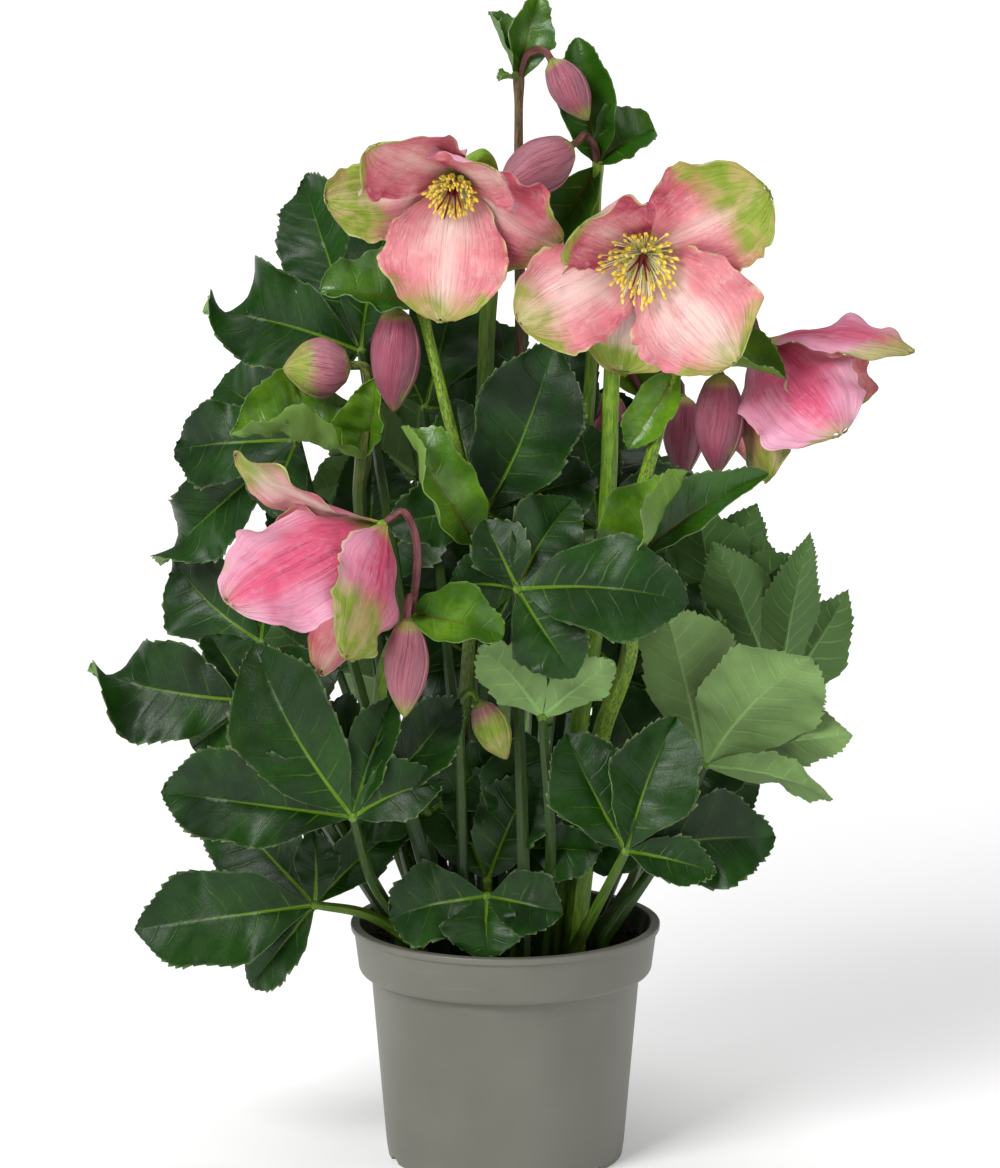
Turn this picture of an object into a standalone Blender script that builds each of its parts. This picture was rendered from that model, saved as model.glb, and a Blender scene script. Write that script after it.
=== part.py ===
"""A potted Christmas rose, a hellebore in a round plastic nursery pot.

The pot stands on the origin, +Z is up and -Y is the side that is looked at. The plant grows from the soil as
leaf stalks, each with one hand-shaped leaf, and flower stems, each with its bracts, buds and blooms. All lengths
in the tables are millimetres; MM turns them into Blender's metres when a mesh is made.
"""

import math

import bmesh
import bpy
import numpy as np
from mathutils import Vector

MM = 0.001
GAP = 0.3

# Pot
POT_RIM_DIAMETER = 140.0
POT_HEIGHT = 108.0
POT_BASE_DIAMETER = 107.0
BAND_HEIGHT = 22.0
BAND_STEP = 5.0
LIP_HEIGHT = 3.0
LIP_STEP = 1.6
WALL = 1.8
LEDGE = POT_HEIGHT - BAND_HEIGHT + WALL
FOOT_HEIGHT = 6.0
FLOOR_TOP = 5.0
FLOOR_THICKNESS = 1.5
POT_SIDES = 28
FOOT_NOTCHES = 6
NOTCH_WIDTH = 12.0
NOTCH_HEIGHT = 2.6
FIRST_NOTCH_DEG = 50.0
DRAIN_RADIUS = 4.0
DRAIN_CIRCLE = 34.0

# Soil
SOIL_TOP = 97.0
HOLE_DEPTH = 12.0

# Plant tissue
BLADE_THICKNESS = 0.8
SEPAL_THICKNESS = 0.8
TOOTH = 1.5
SHORT_LEAFLET = 76.0
STALK_ROOT_RADIUS = 3.0
STALK_HUB_RADIUS = 1.9
HUB_RADIUS = 2.9
STAGGER_DEG = 8.0
STRAIGHT_END = 4.0
STEM_SIDES = 5

# Colours as the eye sees them, in linear values, with a roughness
COLOURS = {
    "pot_plastic": ((0.195, 0.190, 0.165), 0.45),
    "potting_soil": ((0.020, 0.013, 0.009), 0.95),
    "leaf_green": ((0.022, 0.085, 0.020), 0.38),
    "stem_green": ((0.150, 0.270, 0.045), 0.45),
    "sepal_pink": ((0.640, 0.170, 0.240), 0.50),
    "bud_pink": ((0.500, 0.110, 0.180), 0.50),
    "stamen_yellow": ((0.760, 0.640, 0.070), 0.60),
    "pistil_red": ((0.180, 0.012, 0.020), 0.50),
}

# A leaf: where its stalk leaves the soil, points that the stalk passes, its hub, the way its upper side faces
# (degrees round from the front towards +X, degrees above the horizon), lift and droop of its leaflets in degrees,
# and its leaflets, each with its clock angle seen from the upper side (0 is up the slope, 90 to the right),
# length, width and, where it is turned on its rib, that roll.
LEAVES = {
    "leaf_low_left": dict(
        root=(-40, -15), via=[(-62, -18, 115)], hub=(-85, -24, 121), face=(-14, 22), lift=6, droop=22,
        leaflets=[(258, 83, 42), (219, 50, 28), (311, 86, 42), (355, 34, 18), (41, 60, 22)],
    ),
    "leaf_left_fan": dict(
        root=(-36, -24), via=[(-58, -34, 132)], hub=(-66, -80, 174), face=(-8, 20), lift=10, droop=26,
        leaflets=[(276, 88, 42), (328, 88, 42), (352, 58, 22), (17, 57, 22), (37, 72, 28), (67, 44, 24)],
    ),
    "leaf_front": dict(
        root=(-10, -40), via=[], hub=(-8, -45, 130), face=(0, 32), lift=6, droop=22,
        leaflets=[(262, 47, 34), (178, 28, 34), (106, 35, 28)],
    ),
    "leaf_front_up": dict(
        root=(-8, -28), via=[], hub=(-8, -32, 134), face=(0, 14), lift=6, droop=20,
        leaflets=[(340, 56, 36), (24, 54, 30)],
    ),
    "leaf_low_right": dict(
        root=(30, -30), via=[(40, -36, 122)], hub=(53, -50, 152), face=(8, 18), lift=8, droop=22,
        leaflets=[(335, 59, 37), (357, 44, 20), (22, 64, 38), (86, 71, 38), (106, 41, 20)], high=0,
    ),
    "leaf_right": dict(
        root=(44, -8), via=[(70, -6, 140)], hub=(89, -8, 181), face=(168, 20), lift=2, droop=12,
        leaflets=[(322, 88, 50), (10, 84, 40), (285, 70, 30), (268, 64, 26, 20)],
    ),
    "leaf_right_top": dict(
        root=(44, 12), via=[(88, 32, 165)], hub=(124, 40, 202), face=(178, 14), lift=0, droop=8,
        leaflets=[(19, 96, 34), (9, 90, 24), (352, 97, 26), (329, 62, 30), (36, 60, 26)], high=0,
    ),
    "leaf_centre": dict(
        root=(8, -39), via=[(8, -39, 140), (6, -40, 205), (4, -44, 236)], hub=(5, -62, 271), face=(4, 26),
        lift=8, droop=22, leaflets=[(97, 76, 42), (147, 46, 30), (277, 30, 28), (32, 50, 30), (336, 34, 24)],
    ),
    "leaf_upper_centre": dict(
        root=(-10, -10), via=[(-10, -14, 210)], hub=(-9, -22, 298), face=(4, 12), lift=8, droop=16,
        leaflets=[(22, 83, 46), (73, 53, 34), (113, 42, 24), (347, 54, 28), (262, 44, 28)], high=0,
    ),
    "leaf_upper_left": dict(
        root=(-24, 2), via=[(-46, 2, 250)], hub=(-64, 8, 366), face=(-18, 10), lift=6, droop=22,
        leaflets=[(281, 78, 44), (332, 96, 36), (251, 60, 32), (12, 67, 28)],
    ),
    "leaf_left_mid": dict(
        root=(-36, 12), via=[(-70, 14, 230)], hub=(-93, 16, 325), face=(-24, 14), lift=4, droop=20,
        leaflets=[(263, 65, 36), (232, 102, 34), (297, 60, 34), (190, 37, 30)],
    ),
    "leaf_left_mid_low": dict(
        root=(-47, 5), via=[(-86, 18, 170)], hub=(-111, 32, 230), face=(-24, 14), lift=6, droop=26,
        leaflets=[(306, 62, 38), (9, 48, 28), (267, 35, 24)],
    ),
    "leaf_left_low": dict(
        root=(-47, -5), via=[(-84, -14, 162)], hub=(-111, -34, 216), face=(-20, 18), lift=6, droop=24,
        leaflets=[(275, 78, 42), (316, 41, 28, 50), (234, 39, 26), (66, 44, 30)],
    ),
    "leaf_centre_low": dict(
        root=(16, -26), via=[(20, -36, 150)], hub=(16, -52, 212), face=(178, 12), lift=0, droop=8,
        leaflets=[(35, 48, 26), (356, 30, 28), (314, 44, 22)],
    ),
    "leaf_upper_back_left": dict(
        root=(-14, 10), via=[(-26, 18, 230)], hub=(-36, 26, 338), face=(-4, 14), lift=6, droop=20,
        leaflets=[(14, 64, 34), (52, 58, 34), (94, 38, 24), (330, 56, 28)],
    ),
    "leaf_right_centre": dict(
        root=(30, 6), via=[(36, 10, 200)], hub=(42, 10, 286), face=(10, 16), lift=6, droop=22,
        leaflets=[(350, 50, 28), (24, 56, 32), (66, 50, 30), (112, 34, 22), (308, 38, 24)],
    ),
    "leaf_back_right": dict(
        root=(42, 26), via=[(66, 62, 150)], hub=(88, 86, 200), face=(140, 30), lift=8, droop=30,
        leaflets=[(0, 60, 34), (52, 60, 34), (100, 54, 32), (306, 60, 34), (258, 54, 30)],
    ),
    "leaf_back_mid": dict(
        root=(8, 42), via=[(9, 82, 140)], hub=(10, 119, 168), face=(180, 36), lift=8, droop=28,
        leaflets=[(0, 60, 36), (54, 62, 34), (104, 54, 32), (316, 50, 30), (256, 48, 30)],
    ),
    "leaf_back_left": dict(
        root=(-32, 30), via=[(-56, 64, 150)], hub=(-78, 86, 206), face=(218, 30), lift=8, droop=30,
        leaflets=[(0, 62, 34), (54, 62, 34), (102, 54, 32), (306, 60, 34), (256, 54, 32)],
    ),
    "leaf_back_high_left": dict(
        root=(-14, 26), via=[(-26, 50, 220)], hub=(-40, 70, 300), face=(200, 22), lift=6, droop=24,
        leaflets=[(0, 66, 36), (50, 66, 34), (98, 54, 30), (310, 56, 32), (185, 48, 30)],
    ),
    "leaf_back_high_right": dict(
        root=(26, 24), via=[(38, 62, 210)], hub=(48, 92, 270), face=(160, 22), lift=6, droop=24,
        leaflets=[(0, 64, 34), (50, 60, 32), (100, 50, 30), (310, 58, 32), (260, 42, 26)],
    ),
}

# A flower stem: where it leaves the soil, its route, its thickness at the foot and the top, what hangs from its
# end, the pedicels that branch from it, each with its route and what it holds, and its bracts, each with where it
# starts, the way it runs, the way its upper side faces, length, width, lift and droop, and roll.
STEMS = {
    "stem_bloom_left": dict(
        root=(-2, 10), route=[(-8, 10, 220), (-9, 8, 350), (-6, 0, 405), (-5, -6, 436), (-9, -16, 454)],
        radii=(4.2, 3.0), holds="bloom_left", pedicels=[], bracts=[],
    ),
    "stem_bud_left": dict(
        root=(-22, -14), route=[(-22, -4, 150), (-20, -5, 185), (-16, -22, 240), (-13, -36, 290), (-26, -27, 345), (-37, -16, 389)],
        radii=(3.6, 2.2), holds=None,
        pedicels=[([(-37, -16, 387), (-41, -17, 396), (-45, -19, 399)], "bud_left")],
        bracts=[dict(at=(-37, -17, 388), toward=(-0.86, -0.30, 0.30), up=(0.20, 0.55, 0.80), size=(47, 29),
                     bend=(10, 34), roll=-18),
                dict(at=(-14, -37, 287), toward=(-0.45, -0.30, 0.84), up=(0.35, -0.90, 0.10), size=(66, 30),
                     bend=(20, 62), roll=16)],
    ),
    "stem_bloom_right": dict(
        root=(18, -4), route=[(30, 0, 180), (42, -8, 260), (45, -22, 310), (46, -24, 350), (48, -20, 390),
                              (53, -22, 412)],
        radii=(4.4, 3.0), holds="bloom_right", pedicels=[], bracts=[],
    ),
    "stem_side_right": dict(
        root=(31, -16), route=[(38, -16, 165), (43, -18, 198), (55, -28, 238), (51, -38, 276), (63, -26, 320),
                               (76, -10, 362)],
        radii=(5.2, 2.4), holds=None,
        pedicels=[([(76, -10, 360), (84, -5, 376), (98, -1, 386), (108, 1, 383)], "bloom_far_right"),
                  ([(76, -10, 361), (84, -17, 370), (92, -20, 371)], "bud_side_right")],
        bracts=[dict(at=(77, -12, 361), toward=(0.86, -0.42, -0.02), up=(-0.10, -0.50, 0.85), size=(52, 28),
                     bend=(14, 34), roll=-10),
                dict(at=(75, -11, 360), toward=(-0.40, 0.10, -0.90), up=(-0.30, -0.90, 0.20), size=(42, 19),
                     bend=(34, 30), roll=0),
                dict(at=(52, -40, 272), toward=(0.46, -0.12, 0.80), up=(-0.30, -0.92, 0.10), size=(58, 32),
                     bend=(24, 60), roll=-20),
                dict(at=(53, -36, 276), toward=(0.84, 0.10, 0.54), up=(-0.40, -0.50, 0.80), size=(76, 22),
                     bend=(10, 26), roll=0)],
    ),
    "stem_top": dict(
        root=(4, 20), route=[(6, 18, 220), (7, 16, 350), (6, 13, 440), (6, 10, 488)], radii=(3.6, 1.7), holds=None,
        pedicels=[([(6, 10, 486), (9, 8, 496), (14, 6, 499)], "bud_top")],
        bracts=[dict(at=(7, 11, 487), toward=(0.22, 0.05, 0.95), up=(0.15, -0.97, 0.05), size=(38, 20),
                     bend=(4, 14), roll=0),
                dict(at=(5, 10, 487), toward=(-0.40, 0.02, 0.90), up=(0.30, -0.90, 0.20), size=(32, 17),
                     bend=(8, 24), roll=28),
                dict(at=(5, 9, 486), toward=(-0.80, -0.50, 0.10), up=(-0.10, 0.10, 0.98), size=(11, 8),
                     bend=(10, 40), roll=0)],
    ),
    "stem_top_right": dict(
        root=(14, 32), route=[(28, 32, 220), (38, 24, 350), (40, 18, 420), (41, 15, 450)], radii=(3.8, 1.8),
        holds=None,
        pedicels=[([(41, 15, 448), (39, 10, 457), (35, 5, 462)], "bud_top_right")],
        bracts=[dict(at=(41, 16, 449), toward=(-0.16, 0.05, 0.97), up=(-0.15, -0.97, 0.05), size=(56, 26),
                     bend=(2, 14), roll=8),
                dict(at=(42, 16, 449), toward=(0.78, -0.05, 0.52), up=(-0.25, -0.90, 0.35), size=(30, 26),
                     bend=(6, 40), roll=0),
                dict(at=(41, 17, 447), toward=(-0.44, 0.16, -0.86), up=(-0.20, -0.95, -0.10), size=(46, 27),
                     bend=(10, 10), roll=0)],
    ),
    "stem_low_left": dict(
        root=(-26, -28), route=[(-38, -29, 150), (-50, -42, 190), (-55, -52, 215), (-51, -64, 242), (-40, -76, 264)],
        radii=(3.8, 2.6), holds=None,
        pedicels=[([(-40, -76, 262), (-38, -79, 280), (-38, -81, 296), (-43, -82, 308)], "bloom_low_left"),
                  ([(-40, -76, 261), (-40, -83, 270), (-41, -88, 272)], "bud_low_left")],
        bracts=[dict(at=(-39, -77, 261), toward=(0.95, -0.25, -0.12), up=(0.10, -0.75, 0.62), size=(42, 29),
                     bend=(10, 40), roll=0)],
    ),
    "stem_bract_left": dict(
        root=(-28, -8), route=[(-50, -6, 200), (-64, -4, 290), (-63, -6, 320), (-60, -8, 346), (-61, -10, 359)],
        radii=(3.6, 2.0), holds="bud_bract_left", pedicels=[],
        bracts=[dict(at=(-64, -7, 319), toward=(-0.74, -0.34, 0.58), up=(0.45, -0.45, 0.78), size=(62, 46),
                     bend=(-8, 44), roll=0),
                dict(at=(-61, -8, 320), toward=(0.10, -0.30, 0.90), up=(-0.50, -0.80, -0.30), size=(38, 24),
                     bend=(-6, -10), roll=0)],
    ),
    "stem_small_bud": dict(
        root=(-19, -30), route=[(-19, -37, 150), (-20, -43, 196), (-20, -47, 216), (-16, -49, 223)],
        radii=(2.6, 1.5), holds="bud_small", pedicels=[], bracts=[],
    ),
    "stem_back_right": dict(
        root=(34, 38), route=[(50, 56, 200), (62, 60, 290), (63, 58, 340)], radii=(3.6, 2.0), holds=None,
        pedicels=[([(63, 58, 338), (57, 53, 350), (50, 48, 352)], "bud_back_centre"),
                  ([(63, 58, 338), (69, 55, 349), (75, 51, 351)], "bud_back_right")],
        bracts=[dict(at=(62, 58, 339), toward=(-0.34, 0.10, 0.93), up=(0.20, -0.95, -0.10), size=(46, 28),
                     bend=(6, 50), roll=0),
                dict(at=(64, 59, 338), toward=(0.45, 0.60, 0.60), up=(-0.40, -0.40, 0.80), size=(40, 24),
                     bend=(6, 40), roll=0)],
    ),
}

# A bloom: the middle of its receptacle's foot, the way it faces, the number of its stamens and how far the inner
# and the outer ones lean, and its five sepals, each with its clock angle seen from the front, length, width, the
# angles from the bloom's axis at which it starts and ends, and its cupping across the half width.
BLOOMS = {
    "bloom_left": dict(
        foot=(-21, -34, 448), face=(-8, -30), stamens=(16, 18, 42),
        sepals=[(187, 60, 52, 52, 62, 18), (122, 52, 46, 60, 90, 10), (46, 47, 44, 48, 46, 26),
                (320, 52, 46, 56, 58, 24), (266, 56, 44, 62, 94, 10)],
    ),
    "bloom_right": dict(
        foot=(60, -42, 416), face=(-6, -14), stamens=(18, 26, 54),
        sepals=[(136, 60, 56, 64, 84, 14), (191, 54, 44, 74, 98, 8), (244, 60, 46, 65, 86, 16),
                (316, 48, 44, 58, 24, 26), (60, 61, 54, 71, 96, 10)],
    ),
    "bloom_low_left": dict(
        foot=(-52, -82, 303), face=(-76, -39), stamens=(8, 10, 26),
        sepals=[(345, 68, 44, 52, 84, 18), (52, 84, 56, 48, 14, 30), (118, 68, 50, 50, 10, 30),
                (200, 68, 50, 50, 14, 30), (272, 70, 50, 50, 18, 30)],
    ),
    "bloom_far_right": dict(
        foot=(113, 0, 373), face=(80, -58), stamens=(8, 10, 26),
        sepals=[(345, 69, 48, 72, 32, 14), (288, 68, 52, 50, 26, 30), (216, 62, 48, 50, 14, 30),
                (144, 62, 48, 50, 16, 30), (72, 62, 48, 50, 30, 30)],
    ),
}

# A bud: the middle of its flat top where the pedicel meets it, the way its tip points, length and width.
BUDS = {
    "bud_left": dict(top=(-48, -20, 389), toward=(-0.02, -0.06, -1.0), size=(46, 22)),
    "bud_side_right": dict(top=(94, -20, 360), toward=(-0.02, 0.00, -1.0), size=(45, 22)),
    "bud_top": dict(top=(20, 4, 495), toward=(0.52, -0.16, -0.84), size=(31, 17)),
    "bud_top_right": dict(top=(29, -1, 458), toward=(-0.76, -0.46, -0.46), size=(42, 24)),
    "bud_low_left": dict(top=(-42, -90, 263), toward=(-0.03, -0.05, -1.0), size=(42, 19)),
    "bud_bract_left": dict(top=(-68, -12, 362), toward=(-0.95, -0.20, -0.02), size=(30, 26)),
    "bud_small": dict(top=(-12, -50, 219), toward=(0.44, -0.10, -0.88), size=(28, 16)),
    "bud_back_centre": dict(top=(47, 46, 343), toward=(-0.08, -0.06, -1.0), size=(38, 21)),
    "bud_back_right": dict(top=(80, 50, 341), toward=(0.04, -0.06, -1.0), size=(38, 19)),
}


def clear_scene():
    """Takes out whatever the start-up file holds."""
    for obj in list(bpy.data.objects):
        bpy.data.objects.remove(obj)


def material(name):
    """The Principled material of that name, made once."""
    found = bpy.data.materials.get(name)
    if found:
        return found
    colour, roughness = COLOURS[name]
    made = bpy.data.materials.new(name)
    made.use_nodes = True
    shader = made.node_tree.nodes["Principled BSDF"]
    shader.inputs["Base Color"].default_value = (*colour, 1)
    shader.inputs["Roughness"].default_value = roughness
    shader.inputs["Metallic"].default_value = 0
    made.diffuse_color = (*colour, 1)
    return made


def unit(vector):
    """The vector at length one."""
    vector = np.asarray(vector, float)
    return vector / np.linalg.norm(vector)


def object_of(name, points, faces):
    """A mesh object from points in millimetres."""
    mesh = bpy.data.meshes.new(name)
    mesh.from_pydata((np.asarray(points, float) * MM).tolist(), [], faces)
    mesh.validate()
    obj = bpy.data.objects.new(name, mesh)
    bpy.context.scene.collection.objects.link(obj)
    return obj


def finish(obj, name, slot, smooth_deg=50):
    """Names a node, gives it its one material and shades it smooth."""
    obj.name = obj.data.name = name
    obj.data.materials.clear()
    obj.data.materials.append(material(slot))
    obj.data.shade_smooth()
    obj.data.set_sharp_from_angle(angle=math.radians(smooth_deg))
    return obj


def combine(base, others, operation="UNION", solver="MANIFOLD"):
    """One Boolean of base with a collection of the others, applied, with the others then removed."""
    group = bpy.data.collections.new("operands")
    bpy.context.scene.collection.children.link(group)
    for other in others:
        bpy.context.scene.collection.objects.unlink(other)
        group.objects.link(other)
    boolean = base.modifiers.new("combine", "BOOLEAN")
    boolean.operation = operation
    boolean.operand_type = "COLLECTION"
    boolean.solver = solver
    boolean.collection = group
    graph = bpy.context.evaluated_depsgraph_get()
    mesh = bpy.data.meshes.new_from_object(base.evaluated_get(graph))
    base.modifiers.clear()
    base.data = mesh
    for other in others:
        bpy.data.objects.remove(other)
    bpy.data.collections.remove(group)
    return base


def spun(name, profile, sides):
    """A solid turned about Z from a profile of (radius, height) points, closed by a flat disc at each end of it."""
    made = bmesh.new()
    points = [made.verts.new(Vector((radius * MM, 0, height * MM))) for radius, height in profile]
    edges = [made.edges.new(pair) for pair in zip(points, points[1:])]
    bmesh.ops.spin(made, geom=points + edges, axis=(0, 0, 1), cent=(0, 0, 0), angle=math.tau, steps=sides,
                   use_merge=True)
    bmesh.ops.remove_doubles(made, verts=made.verts, dist=1e-6)
    bmesh.ops.holes_fill(made, edges=[edge for edge in made.edges if edge.is_boundary], sides=0)
    bmesh.ops.recalc_face_normals(made, faces=made.faces)
    mesh = bpy.data.meshes.new(name)
    made.to_mesh(mesh)
    made.free()
    obj = bpy.data.objects.new(name, mesh)
    bpy.context.scene.collection.objects.link(obj)
    return obj


def rod(start, end, radius, sides, end_radius=None):
    """A straight rod or cone between two points."""
    start, end = np.asarray(start, float), np.asarray(end, float)
    made = bmesh.new()
    bmesh.ops.create_cone(made, cap_ends=True, segments=sides, radius1=radius * MM,
                          radius2=(radius if end_radius is None else end_radius) * MM,
                          depth=float(np.linalg.norm(end - start)) * MM)
    turn = Vector(unit(end - start)).to_track_quat("Z", "Y").to_matrix().to_4x4()
    turn.translation = Vector((start + end) / 2 * MM)
    bmesh.ops.transform(made, matrix=turn, verts=made.verts)
    mesh = bpy.data.meshes.new("rod")
    made.to_mesh(mesh)
    made.free()
    obj = bpy.data.objects.new("rod", mesh)
    bpy.context.scene.collection.objects.link(obj)
    return obj


def ball(centre, radius, detail=1):
    """A small ball that joins the pieces which meet in it."""
    made = bmesh.new()
    bmesh.ops.create_icosphere(made, subdivisions=detail, radius=radius * MM)
    bmesh.ops.translate(made, verts=made.verts, vec=Vector(centre) * MM)
    mesh = bpy.data.meshes.new("ball")
    made.to_mesh(mesh)
    made.free()
    obj = bpy.data.objects.new("ball", mesh)
    bpy.context.scene.collection.objects.link(obj)
    return obj


def smooth_route(points, count):
    """count points along a Catmull-Rom curve through the given points."""
    points = np.asarray(points, float)
    ends = np.vstack([2 * points[0] - points[1], points, 2 * points[-1] - points[-2]])
    at = np.linspace(0, len(points) - 1, count)
    piece = np.minimum(at.astype(int), len(points) - 2)
    t = (at - piece)[:, None]
    a, b, c, d = (ends[piece + k] for k in range(4))
    return 0.5 * (2 * b + (c - a) * t + (2 * a - 5 * b + 4 * c - d) * t**2 + (3 * b - a - 3 * c + d) * t**3)


def tube(points, first_radius, last_radius):
    """A round stem along the points as a closed mesh: a ring of corners round each point, carried along without
    twist, with a flat cap at each end."""
    points = np.asarray(points, float)
    ahead = np.gradient(points, axis=0)
    side = unit(np.cross(ahead[0], (0.3, 0.9, 0.1)))
    corners = []
    for point, way, radius in zip(points, ahead, np.linspace(first_radius, last_radius, len(points))):
        side = unit(side - unit(way) * np.dot(side, unit(way)))
        other = np.cross(unit(way), side)
        turns = math.tau * np.arange(STEM_SIDES) / STEM_SIDES
        corners.extend(point + radius * (math.cos(turn) * side + math.sin(turn) * other) for turn in turns)
    faces = [tuple(reversed(range(STEM_SIDES))), tuple(range(len(corners) - STEM_SIDES, len(corners)))]
    for ring in range(len(points) - 1):
        for k in range(STEM_SIDES):
            low, following = ring * STEM_SIDES + k, ring * STEM_SIDES + (k + 1) % STEM_SIDES
            faces.append((low, following, following + STEM_SIDES, low + STEM_SIDES))
    return object_of("tube", corners, faces)


def facing(face):
    """The outward direction of a face given as degrees round and degrees up, with the most upward direction in
    its plane and the direction to the right as seen from outside."""
    round_to, above = (math.radians(angle) for angle in face)
    out = np.array([math.sin(round_to) * math.cos(above), -math.cos(round_to) * math.cos(above), math.sin(above)])
    up = np.array([-math.sin(round_to) * math.sin(above), math.cos(round_to) * math.sin(above), math.cos(above)])
    return out, up, np.cross(up, out)


def blade(spec, share, across):
    """Points of a blade's middle surface. share runs from its foot to its tip and across from one edge (-1) to
    the other (1). The rib leaves the foot along spec's way, raised by lift towards its normal, and bends back by
    droop on the way to the tip. The width grows and falls as share**a * (1 - share)**b, at its full value where
    that product is greatest. Each half is raised by the fold angle, the whole is cupped, and a wave runs along
    the margins."""
    share, across = np.asarray(share, float), np.asarray(across, float)
    steps = np.linspace(0, 1, 61)
    angles = np.radians(spec["lift"] - spec["droop"] * steps**1.5)
    along = np.concatenate([[0], np.cumsum((np.cos(angles[1:]) + np.cos(angles[:-1])) / 2)]) / 60
    rise = np.concatenate([[0], np.cumsum((np.sin(angles[1:]) + np.sin(angles[:-1])) / 2)]) / 60
    way, normal = spec["way"], spec["normal"]
    side = np.cross(normal, way)
    length = spec["length"]
    rib = (spec["foot"] + np.multiply.outer(np.interp(share, steps, along) * length, way)
           + np.multiply.outer(np.interp(share, steps, rise) * length, normal))
    angle = np.interp(share, steps, angles)
    lifted = np.multiply.outer(np.cos(angle), normal) - np.multiply.outer(np.sin(angle), way)
    settle = np.clip(share / 0.3, 0, 1)
    roll = np.radians(spec["roll"]) * settle**2 * (3 - 2 * settle)
    right = np.multiply.outer(np.cos(roll), side) + np.sin(roll)[..., None] * lifted
    above = np.cos(roll)[..., None] * lifted - np.multiply.outer(np.sin(roll), side)
    rising, falling = spec["shape"]
    widest = rising / (rising + falling)
    full = widest**rising * (1 - widest) ** falling
    half = np.maximum(spec["width"] / 2 * share**rising * (1 - share) ** falling / full,
                      spec["foot_half"] * (1 - share) ** 0.5)
    fold, cup = math.radians(spec["fold"]), math.radians(spec["cup"]) + 1e-6
    out = half * (np.sin(cup * across) / cup) * math.cos(fold)
    up = half * ((1 - np.cos(cup * across)) / cup + np.abs(across) * math.sin(fold))
    wave = half * spec["wave"] * np.abs(across) ** 1.5 * np.sin(
        math.tau * spec["waves"] * share + spec["phase"] + 2.1 * (across > 0)) * np.clip(3 * share, 0, 1)
    return rib + out[..., None] * right + (up + wave)[..., None] * above


def leaflet_spec(foot, way, normal, length, width, lift, droop, roll, seed):
    """A toothed green leaflet, with small seeded differences in fold, wave and droop."""
    draw = np.random.default_rng(seed)
    return dict(
        foot=np.asarray(foot, float), way=way, normal=normal, length=length, width=width, roll=roll,
        lift=lift + draw.uniform(-4, 4), droop=droop + draw.uniform(-6, 8), fold=draw.uniform(8, 14), cup=10,
        wave=draw.uniform(0.04, 0.10), waves=draw.uniform(1.2, 1.9), phase=draw.uniform(0, math.tau),
        shape=(1.3, 0.92), foot_half=1.3,
    )


def sheet_object(rows, thickness):
    """A thin closed solid from rows of points, of which the first and the last may be a single point. The sheet
    is cut into triangles first, so that both of its faces are alike."""
    points, faces, starts = [], [], []
    for row in rows:
        starts.append(len(points))
        points.extend(row)
    for (low, high), row, following in zip(zip(starts, starts[1:]), rows, rows[1:]):
        for k in range(max(len(row), len(following)) - 1):
            if len(following) == 1:
                faces.append((low + k, low + k + 1, high))
            elif len(row) == 1:
                faces.append((low, high + k + 1, high + k))
            elif k % 2:
                faces += [(low + k, low + k + 1, high + k), (low + k + 1, high + k + 1, high + k)]
            else:
                faces += [(low + k, low + k + 1, high + k + 1), (low + k, high + k + 1, high + k)]
    obj = object_of("blade", points, faces)
    solidify = obj.modifiers.new("thickness", "SOLIDIFY")
    solidify.thickness = thickness * MM
    solidify.offset = 0
    return obj


def leaflet_object(spec):
    """A leaflet with a midrib fold and forward-pointing teeth: along each edge a tooth stands out at one row and
    the notch before it is cut back at the next."""
    rows = [(0.26, 0), (0.50, 1), (0.58, -0.4), (0.80, 0.8)]
    if spec["length"] < SHORT_LEAFLET:
        rows = [(0.32, 0), (0.62, 1), (0.72, -0.4)]
    drawn = [[blade(spec, [0.0], [0.0])[0]]]
    for share, tooth in rows:
        edge = blade(spec, [share, share, share], [-1, 0, 1])
        reach = unit(edge[2] - edge[0]) * TOOTH * tooth
        drawn.append([edge[0] - reach, edge[1], edge[2] + reach])
    drawn.append([blade(spec, [1.0], [0.0])[0]])
    return sheet_object(drawn, BLADE_THICKNESS)


def stem_line(root, route, count):
    """The line of a stem: upright in its hole in the soil, then smoothly along its route."""
    clear = (*root, SOIL_TOP + 4)
    line = smooth_route([clear, *route], count)
    return np.vstack([(*root, SOIL_TOP - HOLE_DEPTH + 1), line])


def nearest_on(line, place):
    """The point of a stem's centre line that lies nearest to a place."""
    starts, runs = line[:-1], np.diff(line, axis=0)
    share = ((np.asarray(place) - starts) * runs).sum(1) / (runs**2).sum(1)
    points = starts + runs * np.clip(share, 0, 1)[:, None]
    return points[np.argmin(((points - place) ** 2).sum(1))]


def held_end(holds):
    """The last two points of a stem that carries a bloom or a bud: a short straight piece along its axis."""
    if holds in BLOOMS:
        end, way = BLOOMS[holds]["foot"], facing(BLOOMS[holds]["face"])[0]
    else:
        end, way = BUDS[holds]["top"], unit(BUDS[holds]["toward"])
    return [np.asarray(end) - way * STRAIGHT_END, np.asarray(end, float)]


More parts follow.
